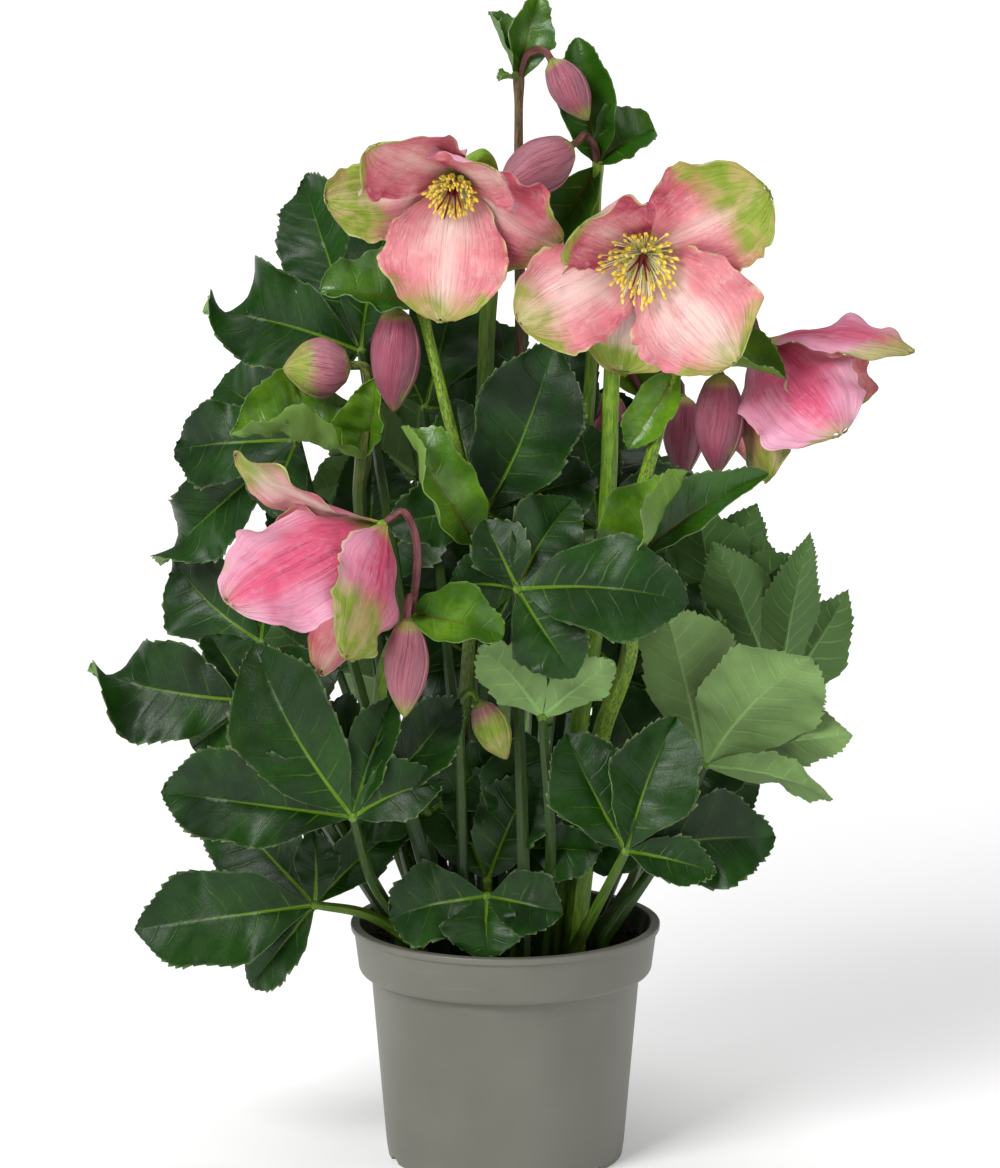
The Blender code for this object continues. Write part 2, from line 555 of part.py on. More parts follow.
def leaf(name, number, root, via, hub, face, lift, droop, leaflets, high=1):
    """One leaf: a stalk from the soil to the hub, and the leaflets that spread from the hub. Going round, every
    second leaflet stands a little higher, so that wide neighbours lie over each other."""
    stalk = tube(stem_line(root, [*via, hub], 4 + len(via)), STALK_ROOT_RADIUS, STALK_HUB_RADIUS)
    normal, up, right = facing(face)
    order = sorted(range(len(leaflets)), key=lambda k: (leaflets[k][0] + 150) % 360)
    pieces = [ball(hub, HUB_RADIUS)]
    for k, (clock, length, width, *roll) in enumerate(leaflets):
        turn = math.radians(clock)
        way = up * math.cos(turn) + right * math.sin(turn)
        raised = lift + (STAGGER_DEG if order.index(k) % 2 == high else -STAGGER_DEG)
        spec = leaflet_spec(hub, way, normal, length, width, raised, droop, roll[0] if roll else 0, (number, k))
        pieces.append(leaflet_object(spec))
    return finish(combine(stalk, pieces), name, "leaf_green", 30)


def flower_stem(name, number, root, route, radii, holds, pedicels, bracts):
    """One flower stem with its pedicels and bracts, grown as one piece."""
    count = 2 + len(route) * 3 // 2
    if holds:
        near, end = held_end(holds)
        line = np.vstack([stem_line(root, [*route, near], count), end])
    else:
        line = stem_line(root, route, count)
    stem = tube(line, *radii)
    pieces = []
    for points, held in pedicels:
        near, end = held_end(held)
        points = [nearest_on(line, points[0]), *points[1:], near]
        pieces.append(tube(np.vstack([smooth_route(points, 5), end]), 1.6, 1.6))
    for k, bract in enumerate(bracts):
        way = unit(bract["toward"])
        normal = unit(np.asarray(bract["up"]) - way * np.dot(bract["up"], way))
        length, width = bract["size"]
        spec = leaflet_spec(nearest_on(line, bract["at"]), way, normal, length, width, *bract["bend"], bract["roll"],
                            (100 + number, k))
        spec.update(shape=(0.85, 0.75), foot_half=1.8, cup=24)
        pieces.append(leaflet_object(spec))
    return finish(combine(stem, pieces) if pieces else stem, name, "stem_green", 30)


def sepal_specs(number, foot, face, sepals, **_):
    """The five sepals of a bloom as blades that start round its receptacle, two of them outermost."""
    normal, up, right = facing(face)
    specs = []
    for k, (clock, length, width, opening, ending, cup) in enumerate(sepals):
        draw = np.random.default_rng((200 + number, k))
        turn = math.radians(clock)
        way = up * math.cos(turn) + right * math.sin(turn)
        layer = 2.2 + 0.9 * (k % 2) + 0.4 * (k == 4)
        specs.append(dict(
            foot=np.asarray(foot) + normal * layer + way * 2.5, way=way, normal=normal, length=length, width=width,
            lift=90 - opening, droop=ending - opening, roll=0, fold=0, cup=cup, wave=draw.uniform(0.06, 0.11),
            waves=draw.uniform(1.1, 1.5), phase=draw.uniform(0, math.tau), shape=(0.95, 0.52), foot_half=2.4,
        ))
    return specs


def bloom(name, number, foot, face, sepals, **_):
    """Receptacle and sepals of one bloom as one piece."""
    normal, _, _ = facing(face)
    foot = np.asarray(foot, float)
    receptacle = rod(foot + normal * GAP, foot + normal * 6, 2.6, 6, 4.4)
    columns = np.linspace(-1, 1, 4)
    pieces = []
    for spec in sepal_specs(number, foot, face, sepals):
        rows = [blade(spec, np.full(4, share), columns) for share in (0, 0.32, 0.66, 0.9)]
        rows.append(blade(spec, [1.0], [0.0]))
        pieces.append(sheet_object(rows, SEPAL_THICKNESS))
    return finish(combine(receptacle, pieces), name, "sepal_pink", 60)


def stamens(name, number, foot, face, count, inner, outer):
    """The ring of stamens, as slim needles that thicken to the anther and stand in a low disc."""
    normal, up, right = facing(face)
    foot = np.asarray(foot, float)
    seat = foot + normal * (6 + GAP)
    radius = 2.4 + outer / 24
    disc = rod(seat, seat + normal * 2.2, radius, 8, radius - 0.5)
    draw = np.random.default_rng((300, number))
    needles = []
    for k in range(count):
        turn = math.tau * (k + draw.uniform(-0.2, 0.2)) / count
        way = up * math.cos(turn) + right * math.sin(turn)
        lean = math.radians((outer if k % 2 else inner) + draw.uniform(-3, 3))
        start = seat + normal * 1.1 + way * (radius - 1.1)
        tip = start + (normal * math.cos(lean) + way * math.sin(lean)) * draw.uniform(11, 14)
        needles.append(rod(start, tip, 0.45, 3, 0.95))
    return finish(combine(disc, needles), name, "stamen_yellow", 60)


def pistils(name, number, foot, face, count):
    """The dark styles at the middle of a bloom, in a small base."""
    normal, up, right = facing(face)
    seat = np.asarray(foot, float) + normal * (8.2 + 2 * GAP)
    base = rod(seat, seat + normal * 3, 1.8, 5, 1.6)
    draw = np.random.default_rng((400, number))
    styles = []
    for k in range(count):
        turn = math.tau * k / count
        way = up * math.cos(turn) + right * math.sin(turn)
        start = seat + normal * 2 + way * 1.0
        tip = start + (normal + way * draw.uniform(0.12, 0.24)) * draw.uniform(10, 13)
        styles.append(rod(start, tip, 0.9, 3, 0.5))
    return finish(combine(base, styles), name, "pistil_red", 60)


def bud(name, top, toward, size):
    """A closed bud: a drop-shaped solid whose radius steps where one sepal's edge lies over the next."""
    length, width = size
    way = unit(toward)
    side = unit(np.cross(way, (0.31, 0.95, 0.05)))
    other = np.cross(way, side)
    start = np.asarray(top, float) + way * GAP
    lifts = (1.0, 1.05, 1.12) * 3
    points, faces = [], []
    rings = [(0, 0.17), (0.12, 0.68), (0.38, 1.0), (0.66, 0.88), (0.88, 0.42)]
    for share, radius in rings:
        for k, raised in enumerate(lifts):
            turn = math.tau * (k + share * 0.8) / len(lifts)
            reach = radius * width / 2 * (raised / 1.06 if share else 1)
            points.append(start + way * share * length + (side * math.cos(turn) + other * math.sin(turn)) * reach)
    points.append(start + way * length)
    sides = len(lifts)
    faces.append(tuple(range(sides)))
    for ring in range(len(rings) - 1):
        for k in range(sides):
            low, following = ring * sides + k, ring * sides + (k + 1) % sides
            faces += [(low, low + sides, following), (following, low + sides, following + sides)]
    last = (len(rings) - 1) * sides
    faces += [(last + k, len(points) - 1, last + (k + 1) % sides) for k in range(sides)]
    obj = object_of(name, points, faces)
    made = bmesh.new()
    made.from_mesh(obj.data)
    bmesh.ops.recalc_face_normals(made, faces=made.faces)
    made.to_mesh(obj.data)
    made.free()
    return finish(obj, name, "bud_pink", 40)


def pot_radius(height):
    """Outer radius of the tapered wall under the band."""
    top = POT_RIM_DIAMETER / 2 - LIP_STEP - BAND_STEP - 2.6
    share = (height - FOOT_HEIGHT) / (POT_HEIGHT - BAND_HEIGHT - FOOT_HEIGHT)
    return POT_BASE_DIAMETER / 2 + 0.6 + (top - POT_BASE_DIAMETER / 2 - 0.6) * share


def inner_radius(height):
    """Radius of the pot's inside at a height below the rim's lip."""
    if height <= LEDGE:
        return pot_radius(height) - WALL
    share = (height - LEDGE) / (POT_HEIGHT - LEDGE)
    return POT_RIM_DIAMETER / 2 - LIP_STEP - BAND_STEP / 2 - WALL + 1.6 * share


def pot():
    """The pot: foot ring with notches, tapered wall, wide band under the lip, and a floor with drain holes."""
    band_low = POT_HEIGHT - BAND_HEIGHT
    band_out = POT_RIM_DIAMETER / 2 - LIP_STEP
    foot_out = POT_BASE_DIAMETER / 2
    profile = [
        (inner_radius(FLOOR_TOP), FLOOR_TOP), (inner_radius(LEDGE), LEDGE),
        (inner_radius(LEDGE + 1), LEDGE + 1), (inner_radius(POT_HEIGHT), POT_HEIGHT),
        (POT_RIM_DIAMETER / 2, POT_HEIGHT), (POT_RIM_DIAMETER / 2 - 0.2, POT_HEIGHT - LIP_HEIGHT),
        (band_out, POT_HEIGHT - LIP_HEIGHT - 0.4), (band_out - 2.2, band_low + 1.2), (band_out - 3.2, band_low),
        (pot_radius(band_low), band_low - 0.4), (pot_radius(FOOT_HEIGHT), FOOT_HEIGHT), (foot_out - 0.3, 0),
        (foot_out - 2.6, 0), (foot_out - 3.2, FLOOR_TOP - FLOOR_THICKNESS),
    ]
    body = spun("pot", profile, POT_SIDES)
    cutters = []
    sunk = NOTCH_WIDTH / 2 - NOTCH_HEIGHT
    for k in range(FOOT_NOTCHES):
        turn = math.radians(FIRST_NOTCH_DEG) + math.tau * k / FOOT_NOTCHES
        out = np.array([math.sin(turn), -math.cos(turn), 0])
        cutters.append(rod(out * (foot_out - 8) - (0, 0, sunk), out * (foot_out + 8) - (0, 0, sunk),
                           NOTCH_WIDTH / 2, 6))
        drain = np.array([math.sin(turn + 0.5), -math.cos(turn + 0.5), 0]) * DRAIN_CIRCLE
        cutters.append(rod(drain, drain + (0, 0, FLOOR_TOP + 4), DRAIN_RADIUS, 6))
    return finish(combine(body, cutters, "DIFFERENCE", "EXACT"), "pot", "pot_plastic", 35)


def soil(roots):
    """The potting soil, with a plain hole for each stem that stands in it."""
    floor = FLOOR_TOP + GAP
    profile = [(inner_radius(floor) - GAP - 0.1, floor), (inner_radius(LEDGE) - GAP, LEDGE + GAP),
               (inner_radius(LEDGE + 1) - GAP, LEDGE + 1 + GAP), (inner_radius(SOIL_TOP) - GAP, SOIL_TOP)]
    body = spun("soil", profile, POT_SIDES)
    holes = [rod((*root, SOIL_TOP - HOLE_DEPTH), (*root, SOIL_TOP + 6),
                 (radius + GAP) / math.cos(math.pi / STEM_SIDES), STEM_SIDES) for root, radius in roots]
    return finish(combine(body, holes, "DIFFERENCE", "EXACT"), "soil", "potting_soil", 30)


def main():
    """Builds every node of the plant and its pot."""
    clear_scene()
    pot()
    roots = [(entry["root"], STALK_ROOT_RADIUS) for entry in LEAVES.values()]
    roots += [(entry["root"], entry["radii"][0]) for entry in STEMS.values()]
    soil(roots)
    for number, (name, entry) in enumerate(LEAVES.items()):
        leaf(name, number, **entry)
    for number, (name, entry) in enumerate(STEMS.items()):
        flower_stem(name, number, **entry)
    for number, (name, entry) in enumerate(BLOOMS.items()):
        bloom(name, number, **entry)
        stamens(name + "_stamens", number, entry["foot"], entry["face"], *entry["stamens"])
        pistils(name + "_pistils", number, entry["foot"], entry["face"], 5 if entry["stamens"][0] > 10 else 3)
    for name, entry in BUDS.items():
        bud(name, **entry)


main()
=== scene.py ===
# %% [markdown]
# # A Christmas rose in its nursery pot
#
# The real object is a hellebore: leathery hand-shaped leaves with fine teeth, thick speckled stems, nodding
# pink flowers, closed buds, dark peat and a round grey plastic pot. The frame already holds a plain solid
# for each of them. This script gives every solid a finer skin that keeps its form and its place, and adds
# what solids can't show: veins, pleats, ruffled margins, anthers, crumbs and colour. A leaf or a petal is a
# bent sheet, so each skin is worked out as a formula on a grid of points, which bends more evenly than a
# mesh that is pushed by hand.

# %% Load the frame
import math

import bpy
import numpy as np
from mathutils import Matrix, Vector


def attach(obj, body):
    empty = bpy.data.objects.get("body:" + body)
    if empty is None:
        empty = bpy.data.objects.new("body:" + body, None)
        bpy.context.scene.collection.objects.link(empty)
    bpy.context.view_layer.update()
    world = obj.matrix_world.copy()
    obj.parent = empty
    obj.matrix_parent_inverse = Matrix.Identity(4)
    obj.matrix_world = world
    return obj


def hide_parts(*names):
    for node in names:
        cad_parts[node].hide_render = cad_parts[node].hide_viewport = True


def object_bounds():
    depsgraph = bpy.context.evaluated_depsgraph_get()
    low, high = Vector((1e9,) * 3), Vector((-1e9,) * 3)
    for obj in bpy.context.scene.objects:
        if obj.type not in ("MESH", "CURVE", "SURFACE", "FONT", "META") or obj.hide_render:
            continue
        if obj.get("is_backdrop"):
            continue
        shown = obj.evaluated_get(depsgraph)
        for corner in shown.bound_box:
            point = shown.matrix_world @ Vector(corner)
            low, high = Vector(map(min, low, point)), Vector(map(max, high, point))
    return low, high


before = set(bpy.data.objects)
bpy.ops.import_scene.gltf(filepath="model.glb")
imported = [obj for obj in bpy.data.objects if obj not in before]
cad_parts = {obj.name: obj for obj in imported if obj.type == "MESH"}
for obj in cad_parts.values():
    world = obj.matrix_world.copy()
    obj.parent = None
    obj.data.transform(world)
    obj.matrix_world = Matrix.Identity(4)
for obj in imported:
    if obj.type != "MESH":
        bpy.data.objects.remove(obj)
cad_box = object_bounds()
print("nodes in the frame:", len(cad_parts))
print("box of the solids in metres:", [tuple(round(number, 4) for number in corner) for corner in cad_box])

# %% [markdown]
# ## The planting plan
#
# A gardener would note where each stalk leaves the soil, which way it leans and what it carries. These
# tables do that, in millimetres and degrees. They are the same driving sizes that the solids were made
# from, so a skin that is worked out from them lies on its solid. Measuring the solids' meshes instead would
# only give back their facets.

# %% Sizes of pot, soil and stalks in millimetres
MM = 0.001
POT_RIM_DIAMETER = 140.0
POT_HEIGHT = 108.0
POT_BASE_DIAMETER = 107.0
BAND_HEIGHT = 22.0
BAND_STEP = 5.0
LIP_HEIGHT = 3.0
LIP_STEP = 1.6
WALL = 1.8
LEDGE = POT_HEIGHT - BAND_HEIGHT + WALL
FOOT_HEIGHT = 6.0
FLOOR_TOP = 5.0
FLOOR_THICKNESS = 1.5
FOOT_NOTCHES = 6
NOTCH_WIDTH = 12.0
NOTCH_HEIGHT = 2.6
FIRST_NOTCH_DEG = 50.0
DRAIN_RADIUS = 4.0
DRAIN_CIRCLE = 34.0
SOIL_TOP = 97.0
HOLE_DEPTH = 12.0
GAP = 0.3
STALK_ROOT_RADIUS = 3.0
STALK_HUB_RADIUS = 1.9
HUB_RADIUS = 2.9
STAGGER_DEG = 8.0
STRAIGHT_END = 4.0
print("the pot is", POT_HEIGHT, "mm tall and", POT_RIM_DIAMETER, "mm wide, its soil reaches", SOIL_TOP, "mm")

# %% The table of leaves
def rows(keys, *lines):
    """A table by name. Each line is a name, a value for each key in turn, and perhaps a dict of further
    ones."""
    keys = keys.split()
    return {name: dict(zip(keys, values), **dict(*values[len(keys):])) for name, *values in lines}


# A leaf: where its stalk leaves the soil, points that the stalk passes, its hub, the way its upper side
# faces (degrees round from the front, and degrees above level), the angle by which its leaflets rise from
# its plane, the angle by which they bend back, and its leaflets. A leaflet has a clock angle, a length, a
# width, and perhaps a roll and a twist of its tip. A leaf may say which leaflets stand high, and its own
# outline and brightness. A low brightness darkens the leaf's undersides with painted shade.
LEAF_KEYS = "root via hub face lift droop leaflets"
LEAVES = rows(
    LEAF_KEYS,
    ("leaf_low_left", (-40, -15), [(-62, -18, 115)], (-85, -24, 121), (-14, 22), 6, 22,
     [(258, 83, 42), (219, 50, 28), (311, 86, 42), (355, 34, 18), (41, 60, 22)]),
    ("leaf_left_fan", (-36, -24), [(-58, -34, 132)], (-66, -80, 174), (-8, 20), 10, 26,
     [(276, 88, 42), (328, 88, 42), (352, 58, 22), (17, 57, 22), (37, 72, 28), (67, 44, 24)]),
    ("leaf_front", (-10, -40), [], (-8, -45, 130), (0, 32), 6, 22,
     [(262, 47, 34), (178, 28, 34), (106, 35, 28)]),
    ("leaf_front_up", (-8, -28), [], (-8, -32, 134), (0, 14), 6, 20,
     [(340, 56, 36), (24, 54, 30)]),
    ("leaf_low_right", (30, -30), [(40, -36, 122)], (53, -50, 152), (8, 18), 8, 22,
     [(335, 59, 37), (357, 44, 20), (22, 64, 38), (86, 71, 38), (106, 41, 20)], dict(high=0)),
    ("leaf_right", (44, -8), [(70, -6, 140)], (89, -8, 181), (168, 20), 2, 12,
     [(322, 88, 50), (10, 84, 40), (285, 70, 30), (268, 64, 26, 20)], dict(tone=0.5)),
    ("leaf_right_top", (44, 12), [(88, 32, 165)], (124, 40, 202), (178, 14), 0, 8,
     [(19, 96, 34), (9, 90, 24), (352, 97, 26), (329, 62, 30), (36, 60, 26)],
     dict(high=0, shape=(0.95, 1.2), tone=0.12)),
    ("leaf_centre", (8, -39), [(8, -39, 140), (6, -40, 205), (4, -44, 236)], (5, -62, 271), (4, 26), 8, 22,
     [(97, 76, 42), (147, 46, 30), (277, 30, 28), (32, 50, 30), (336, 34, 24)]),
    ("leaf_upper_centre", (-10, -10), [(-10, -14, 210)], (-9, -22, 298), (4, 12), 8, 16,
     [(22, 83, 46), (73, 53, 34), (113, 42, 24), (347, 54, 28), (262, 44, 28)], dict(high=0)),
    ("leaf_upper_left", (-24, 2), [(-46, 2, 250)], (-64, 8, 366), (-18, 10), 6, 22,
     [(281, 78, 44, 0, 110), (332, 96, 36, 0, -35), (251, 60, 32), (12, 67, 28)]),
    ("leaf_left_mid", (-36, 12), [(-70, 14, 230)], (-93, 16, 325), (-24, 14), 4, 20,
     [(263, 65, 36), (232, 102, 34, 0, 105), (297, 60, 34), (190, 37, 30)]),
    ("leaf_left_mid_low", (-47, 5), [(-86, 18, 170)], (-111, 32, 230), (-24, 14), 6, 26,
     [(306, 62, 38), (9, 48, 28), (267, 35, 24)]),
    ("leaf_left_low", (-47, -5), [(-84, -14, 162)], (-111, -34, 216), (-20, 18), 6, 24,
     [(275, 78, 42, 0, 120), (316, 41, 28, 50), (234, 39, 26), (66, 44, 30)]),
    ("leaf_centre_low", (16, -26), [(20, -36, 150)], (16, -52, 212), (178, 12), 0, 8,
     [(35, 48, 26), (356, 30, 28), (314, 44, 22)], dict(tone=0.4)),
    ("leaf_upper_back_left", (-14, 10), [(-26, 18, 230)], (-36, 26, 338), (-4, 14), 6, 20,
     [(14, 64, 34), (52, 58, 34), (94, 38, 24), (330, 56, 28)]),
    ("leaf_right_centre", (30, 6), [(36, 10, 200)], (42, 10, 286), (10, 16), 6, 22,
     [(350, 50, 28), (24, 56, 32), (66, 50, 30), (112, 34, 22), (308, 38, 24)]),
    ("leaf_back_right", (42, 26), [(66, 62, 150)], (88, 86, 200), (140, 30), 8, 30,
     [(0, 60, 34), (52, 60, 34), (100, 54, 32), (306, 60, 34), (258, 54, 30)]),
    ("leaf_back_mid", (8, 42), [(9, 82, 140)], (10, 119, 168), (180, 36), 8, 28,
     [(0, 60, 36), (54, 62, 34), (104, 54, 32), (316, 50, 30), (256, 48, 30)]),
    ("leaf_back_left", (-32, 30), [(-56, 64, 150)], (-78, 86, 206), (218, 30), 8, 30,
     [(0, 62, 34), (54, 62, 34), (102, 54, 32), (306, 60, 34), (256, 54, 32)]),
    ("leaf_back_high_left", (-14, 26), [(-26, 50, 220)], (-40, 70, 300), (200, 22), 6, 24,
     [(0, 66, 36), (50, 66, 34), (98, 54, 30), (310, 56, 32), (185, 48, 30)]),
    ("leaf_back_high_right", (26, 24), [(38, 62, 210)], (48, 92, 270), (160, 22), 6, 24,
     [(0, 64, 34), (50, 60, 32), (100, 50, 30), (310, 58, 32), (260, 42, 26)]),
)
print("leaves in the plan:", len(LEAVES))

# %% The table of flower stems
# A flower stem: where it leaves the soil, points that it passes, its radius at foot and end, the bloom or
# bud that it holds itself, its tones, its thin stalks and its bracts. The four tones say how maroon and how
# speckled it is, how much painted shade darkens it all along, and how much more painted shade darkens it
# towards the soil. A thin stalk has the points that it passes and what it holds. A bract has the place
# where it leaves the stem, the ways that it points and that its upper side faces, length and width, rise
# and bend, a roll, and perhaps its own tone, crumple and other measures of its blade.
STEMS = rows(
    "root route radii holds tones pedicels bracts",
    ("stem_bloom_left", (-2, 10),
     [(-8, 10, 220), (-9, 8, 350), (-6, 0, 405), (-5, -6, 436), (-9, -16, 454)],
     (4.2, 3.0), "bloom_left", (0.0, 0.2, 0.0, 1.0), [], []),
    ("stem_bud_left", (-22, -14),
     [(-22, -4, 150), (-20, -5, 185), (-16, -22, 240), (-13, -36, 290), (-26, -27, 345), (-37, -16, 389)],
     (3.6, 2.2), None, (0.15, 0.85, 0.1, 0.9),
     [([(-37, -16, 387), (-41, -17, 396), (-45, -19, 399)], "bud_left")],
     [((-37, -17, 388), (-0.86, -0.3, 0.3), (0.1, -0.6, 0.75), (47, 29), (10, 34), -18, dict(tone=-0.6)),
      ((-14, -37, 287), (-0.45, -0.3, 0.84), (0.35, -0.9, 0.1), (66, 30), (20, 62), 16,
       dict(crumple=0.8, cup=62, wave=0.2, twist=70))]),
    ("stem_bloom_right", (18, -4),
     [(30, 0, 180), (42, -8, 260), (45, -22, 310), (46, -24, 350), (48, -20, 390), (53, -22, 412)],
     (4.4, 3.0), "bloom_right", (0.0, 0.35, 0.0, 0.25), [], []),
    ("stem_side_right", (31, -16),
     [(38, -16, 165), (43, -18, 198), (55, -28, 238), (51, -38, 276), (63, -26, 320), (76, -10, 362)],
     (5.2, 2.4), None, (0.15, 0.85, 0.0, 0.2),
     [([(76, -10, 360), (84, -5, 376), (98, -1, 386), (108, 1, 383)], "bloom_far_right"),
      ([(76, -10, 361), (84, -17, 370), (92, -20, 371)], "bud_side_right")],
     [((77, -12, 361), (0.86, -0.42, -0.02), (-0.1, -0.5, 0.85), (52, 28), (14, 34), -10),
      ((75, -11, 360), (-0.4, 0.1, -0.9), (-0.3, -0.9, 0.2), (42, 19), (34, 30), 0),
      ((52, -40, 272), (0.46, -0.12, 0.8), (-0.3, -0.92, 0.1), (58, 32), (24, 60), -20,
       dict(crumple=0.9, cup=66, wave=0.22, twist=-60)),
      ((53, -36, 276), (0.84, 0.1, 0.54), (-0.2, -0.9, 0.4), (76, 22), (10, 26), 0, dict(tone=-1.0))]),
    ("stem_top", (4, 20),
     [(6, 18, 220), (7, 16, 350), (6, 13, 440), (6, 10, 488)],
     (3.6, 1.7), None, (0.58, 1.0, 0.55, 0.7),
     [([(6, 10, 486), (9, 8, 496), (14, 6, 499)], "bud_top")],
     [((7, 11, 487), (0.22, 0.05, 0.95), (0.15, -0.97, 0.05), (38, 20), (4, 14), 0, dict(tone=-0.5)),
      ((5, 10, 487), (-0.4, 0.02, 0.9), (0.3, -0.9, 0.2), (32, 17), (8, 24), 28, dict(tone=-0.3)),
      ((5, 9, 486), (-0.8, -0.5, 0.1), (-0.1, 0.1, 0.98), (11, 8), (10, 40), 0)]),
    ("stem_top_right", (14, 32),
     [(28, 32, 220), (38, 24, 350), (40, 18, 420), (41, 15, 450)],
     (3.8, 1.8), None, (0.15, 0.3, 0.1, 0.9),
     [([(41, 15, 448), (39, 10, 457), (35, 5, 462)], "bud_top_right")],
     [((41, 16, 449), (-0.16, 0.05, 0.97), (-0.15, -0.97, 0.05), (56, 26), (2, 14), 8, dict(tone=-1.0)),
      ((42, 16, 449), (0.78, -0.05, 0.52), (-0.25, -0.9, 0.35), (30, 26), (6, 40), 0, dict(tone=-0.8)),
      ((41, 17, 447), (-0.44, 0.16, -0.86), (-0.2, -0.95, -0.1), (46, 27), (10, 10), 0, dict(tone=-0.8))]),
    ("stem_low_left", (-26, -28),
     [(-38, -29, 150), (-50, -42, 190), (-55, -52, 215), (-51, -64, 242), (-40, -76, 264)],
     (3.8, 2.6), None, (0.05, 0.3, 0.2, 0.9),
     [([(-40, -76, 262), (-38, -79, 280), (-38, -81, 296), (-43, -82, 308)], "bloom_low_left"),
      ([(-40, -76, 261), (-40, -83, 270), (-41, -88, 272)], "bud_low_left")],
     [((-39, -77, 261), (0.95, -0.25, -0.12), (0.1, -0.75, 0.62), (42, 29), (10, 40), 0,
       dict(cup=48, wave=0.26))]),
    ("stem_bract_left", (-28, -8),
     [(-50, -6, 200), (-64, -4, 290), (-63, -6, 320), (-60, -8, 346), (-61, -10, 359)],
     (3.6, 2.0), "bud_bract_left", (0.45, 0.8, 0.4, 0.8), [],
     [((-64, -7, 319), (-0.74, -0.34, 0.58), (0.45, -0.45, 0.78), (62, 46), (-8, 44), 0,
       dict(crumple=1.8, cup=88, wave=0.24, fold=6)),
      ((-61, -8, 320), (0.1, -0.3, 0.9), (-0.5, -0.8, -0.3), (38, 24), (-6, -10), 0,
       dict(crumple=1.2, cup=60, wave=0.22))]),
    ("stem_small_bud", (-19, -30),
     [(-19, -37, 150), (-20, -43, 196), (-20, -47, 216), (-16, -49, 223)],
     (2.6, 1.5), "bud_small", (0.2, 0.5, 0.6, 0.4), [], []),
    ("stem_back_right", (34, 38),
     [(50, 56, 200), (62, 60, 290), (63, 58, 340)],
     (3.6, 2.0), None, (0.2, 0.5, 0.3, 0.6),
     [([(63, 58, 338), (57, 53, 350), (50, 48, 352)], "bud_back_centre"),
      ([(63, 58, 338), (69, 55, 349), (75, 51, 351)], "bud_back_right")],
     [((62, 58, 339), (-0.34, 0.1, 0.93), (0.2, -0.95, -0.1), (46, 28), (6, 50), 0),
      ((64, 59, 338), (0.45, 0.6, 0.6), (-0.4, -0.4, 0.8), (40, 24), (6, 40), 0)]),
)
print("flower stems in the plan:", len(STEMS))

# %% The tables of blooms and buds
# A bloom: the middle of its receptacle's foot, the way it faces, the number of its stamens and how far the
# inner and the outer ones lean, and its five sepals. A sepal has a clock angle seen from the front, a
# length, a width, the angles from the bloom's axis at which it starts and ends, its cupping across the half
# width, how green its tip is, how rosy it is, how far in front it lies, and perhaps a roll.
BLOOMS = rows(
    "foot face stamens sepals",
    # The rose numbers of bloom_left's sepals are raised, partly for their own deeper pink and partly as
    # painted shade.
    ("bloom_left", (-21, -34, 448), (-8, -30), (16, 18, 42),
     [(187, 60, 52, 52, 62, 18, 0.85, 0.45, 1), (122, 52, 46, 60, 90, 10, 0.65, 0.95, 0),
      (46, 47, 44, 48, 46, 26, 0.35, 0.65, 1), (320, 52, 46, 56, 58, 24, 0.45, 0.85, 0.5),
      (266, 56, 44, 62, 94, 10, 1.8, 0.8, 0)]),
    ("bloom_right", (60, -42, 416), (-6, -14), (18, 26, 54),
     [(136, 60, 56, 64, 84, 14, 0.85, 0.25, 1), (191, 54, 44, 74, 98, 8, 1.5, 0.15, 0),
      (244, 60, 46, 65, 86, 16, 1.05, 0.35, 0.7), (316, 48, 44, 58, 24, 26, 0.75, 1.3, 1),
      (60, 61, 54, 71, 96, 10, 1.75, 0.95, 0.3)]),
    ("bloom_low_left", (-52, -82, 303), (-76, -39), (8, 10, 26),
     [(345, 68, 44, 52, 84, 18, 1.2, 0.0, 0, 14), (52, 84, 56, 48, 14, 30, 0.25, 0.45, 1.2),
      (118, 68, 50, 50, 10, 30, 1.7, 0.5, -1), (200, 68, 50, 50, 14, 30, 0.3, 0.5, 1.6),
      (272, 70, 50, 50, 18, 30, 0.5, 0.5, 0.8)]),
    ("bloom_far_right", (113, 0, 373), (80, -58), (8, 10, 26),
     [(345, 69, 48, 72, 32, 14, 1.2, 0.75, 0.3), (288, 68, 52, 50, 26, 30, 0.3, 0.6, 0),
      (216, 62, 48, 50, 14, 30, 1.6, 0.5, 1.3), (144, 62, 48, 50, 16, 30, 0.6, 0.5, 0.5),
      (72, 62, 48, 50, 30, 30, 0.5, 0.6, 1)]),
)

# A bud: the middle of its flat top where its stalk meets it, the way its tip points, its length and width,
# and how green and how rosy it is.
BUDS = rows(
    "top toward size colours",
    ("bud_left", (-48, -20, 389), (-0.02, -0.06, -1.0), (46, 22), (0.35, 0.6)),
    ("bud_side_right", (94, -20, 360), (-0.02, 0.0, -1.0), (45, 22), (0.35, 0.6)),
    ("bud_top", (20, 4, 495), (0.52, -0.16, -0.84), (31, 17), (0.9, 0.3)),
    ("bud_top_right", (29, -1, 458), (-0.76, -0.46, -0.46), (42, 24), (0.2, 0.2)),
    ("bud_low_left", (-42, -90, 263), (-0.03, -0.05, -1.0), (42, 19), (0.9, 0.2)),
    ("bud_bract_left", (-68, -12, 362), (-0.95, -0.2, -0.02), (30, 26), (1.7, 0.2)),
    ("bud_small", (-12, -50, 219), (0.44, -0.1, -0.88), (28, 16), (3.3, 0.0)),
    ("bud_back_centre", (47, 46, 343), (-0.08, -0.06, -1.0), (38, 21), (0.35, 0.6)),
    ("bud_back_right", (80, 50, 341), (0.04, -0.06, -1.0), (38, 19), (0.35, 0.6)),
)
print("in the plan:", len(BLOOMS), "blooms,", len(BUDS), "buds")

# %% [markdown]
# ## Directions and lines
#
# A leaf faces some way and a stem runs along a bent line. One helper turns a compass reading into
# three directions at right angles. Another draws a smooth line through a few points, as a bent cane
# would run. A Blender curve object could do this too, but points in an array can be measured and carried
# further.

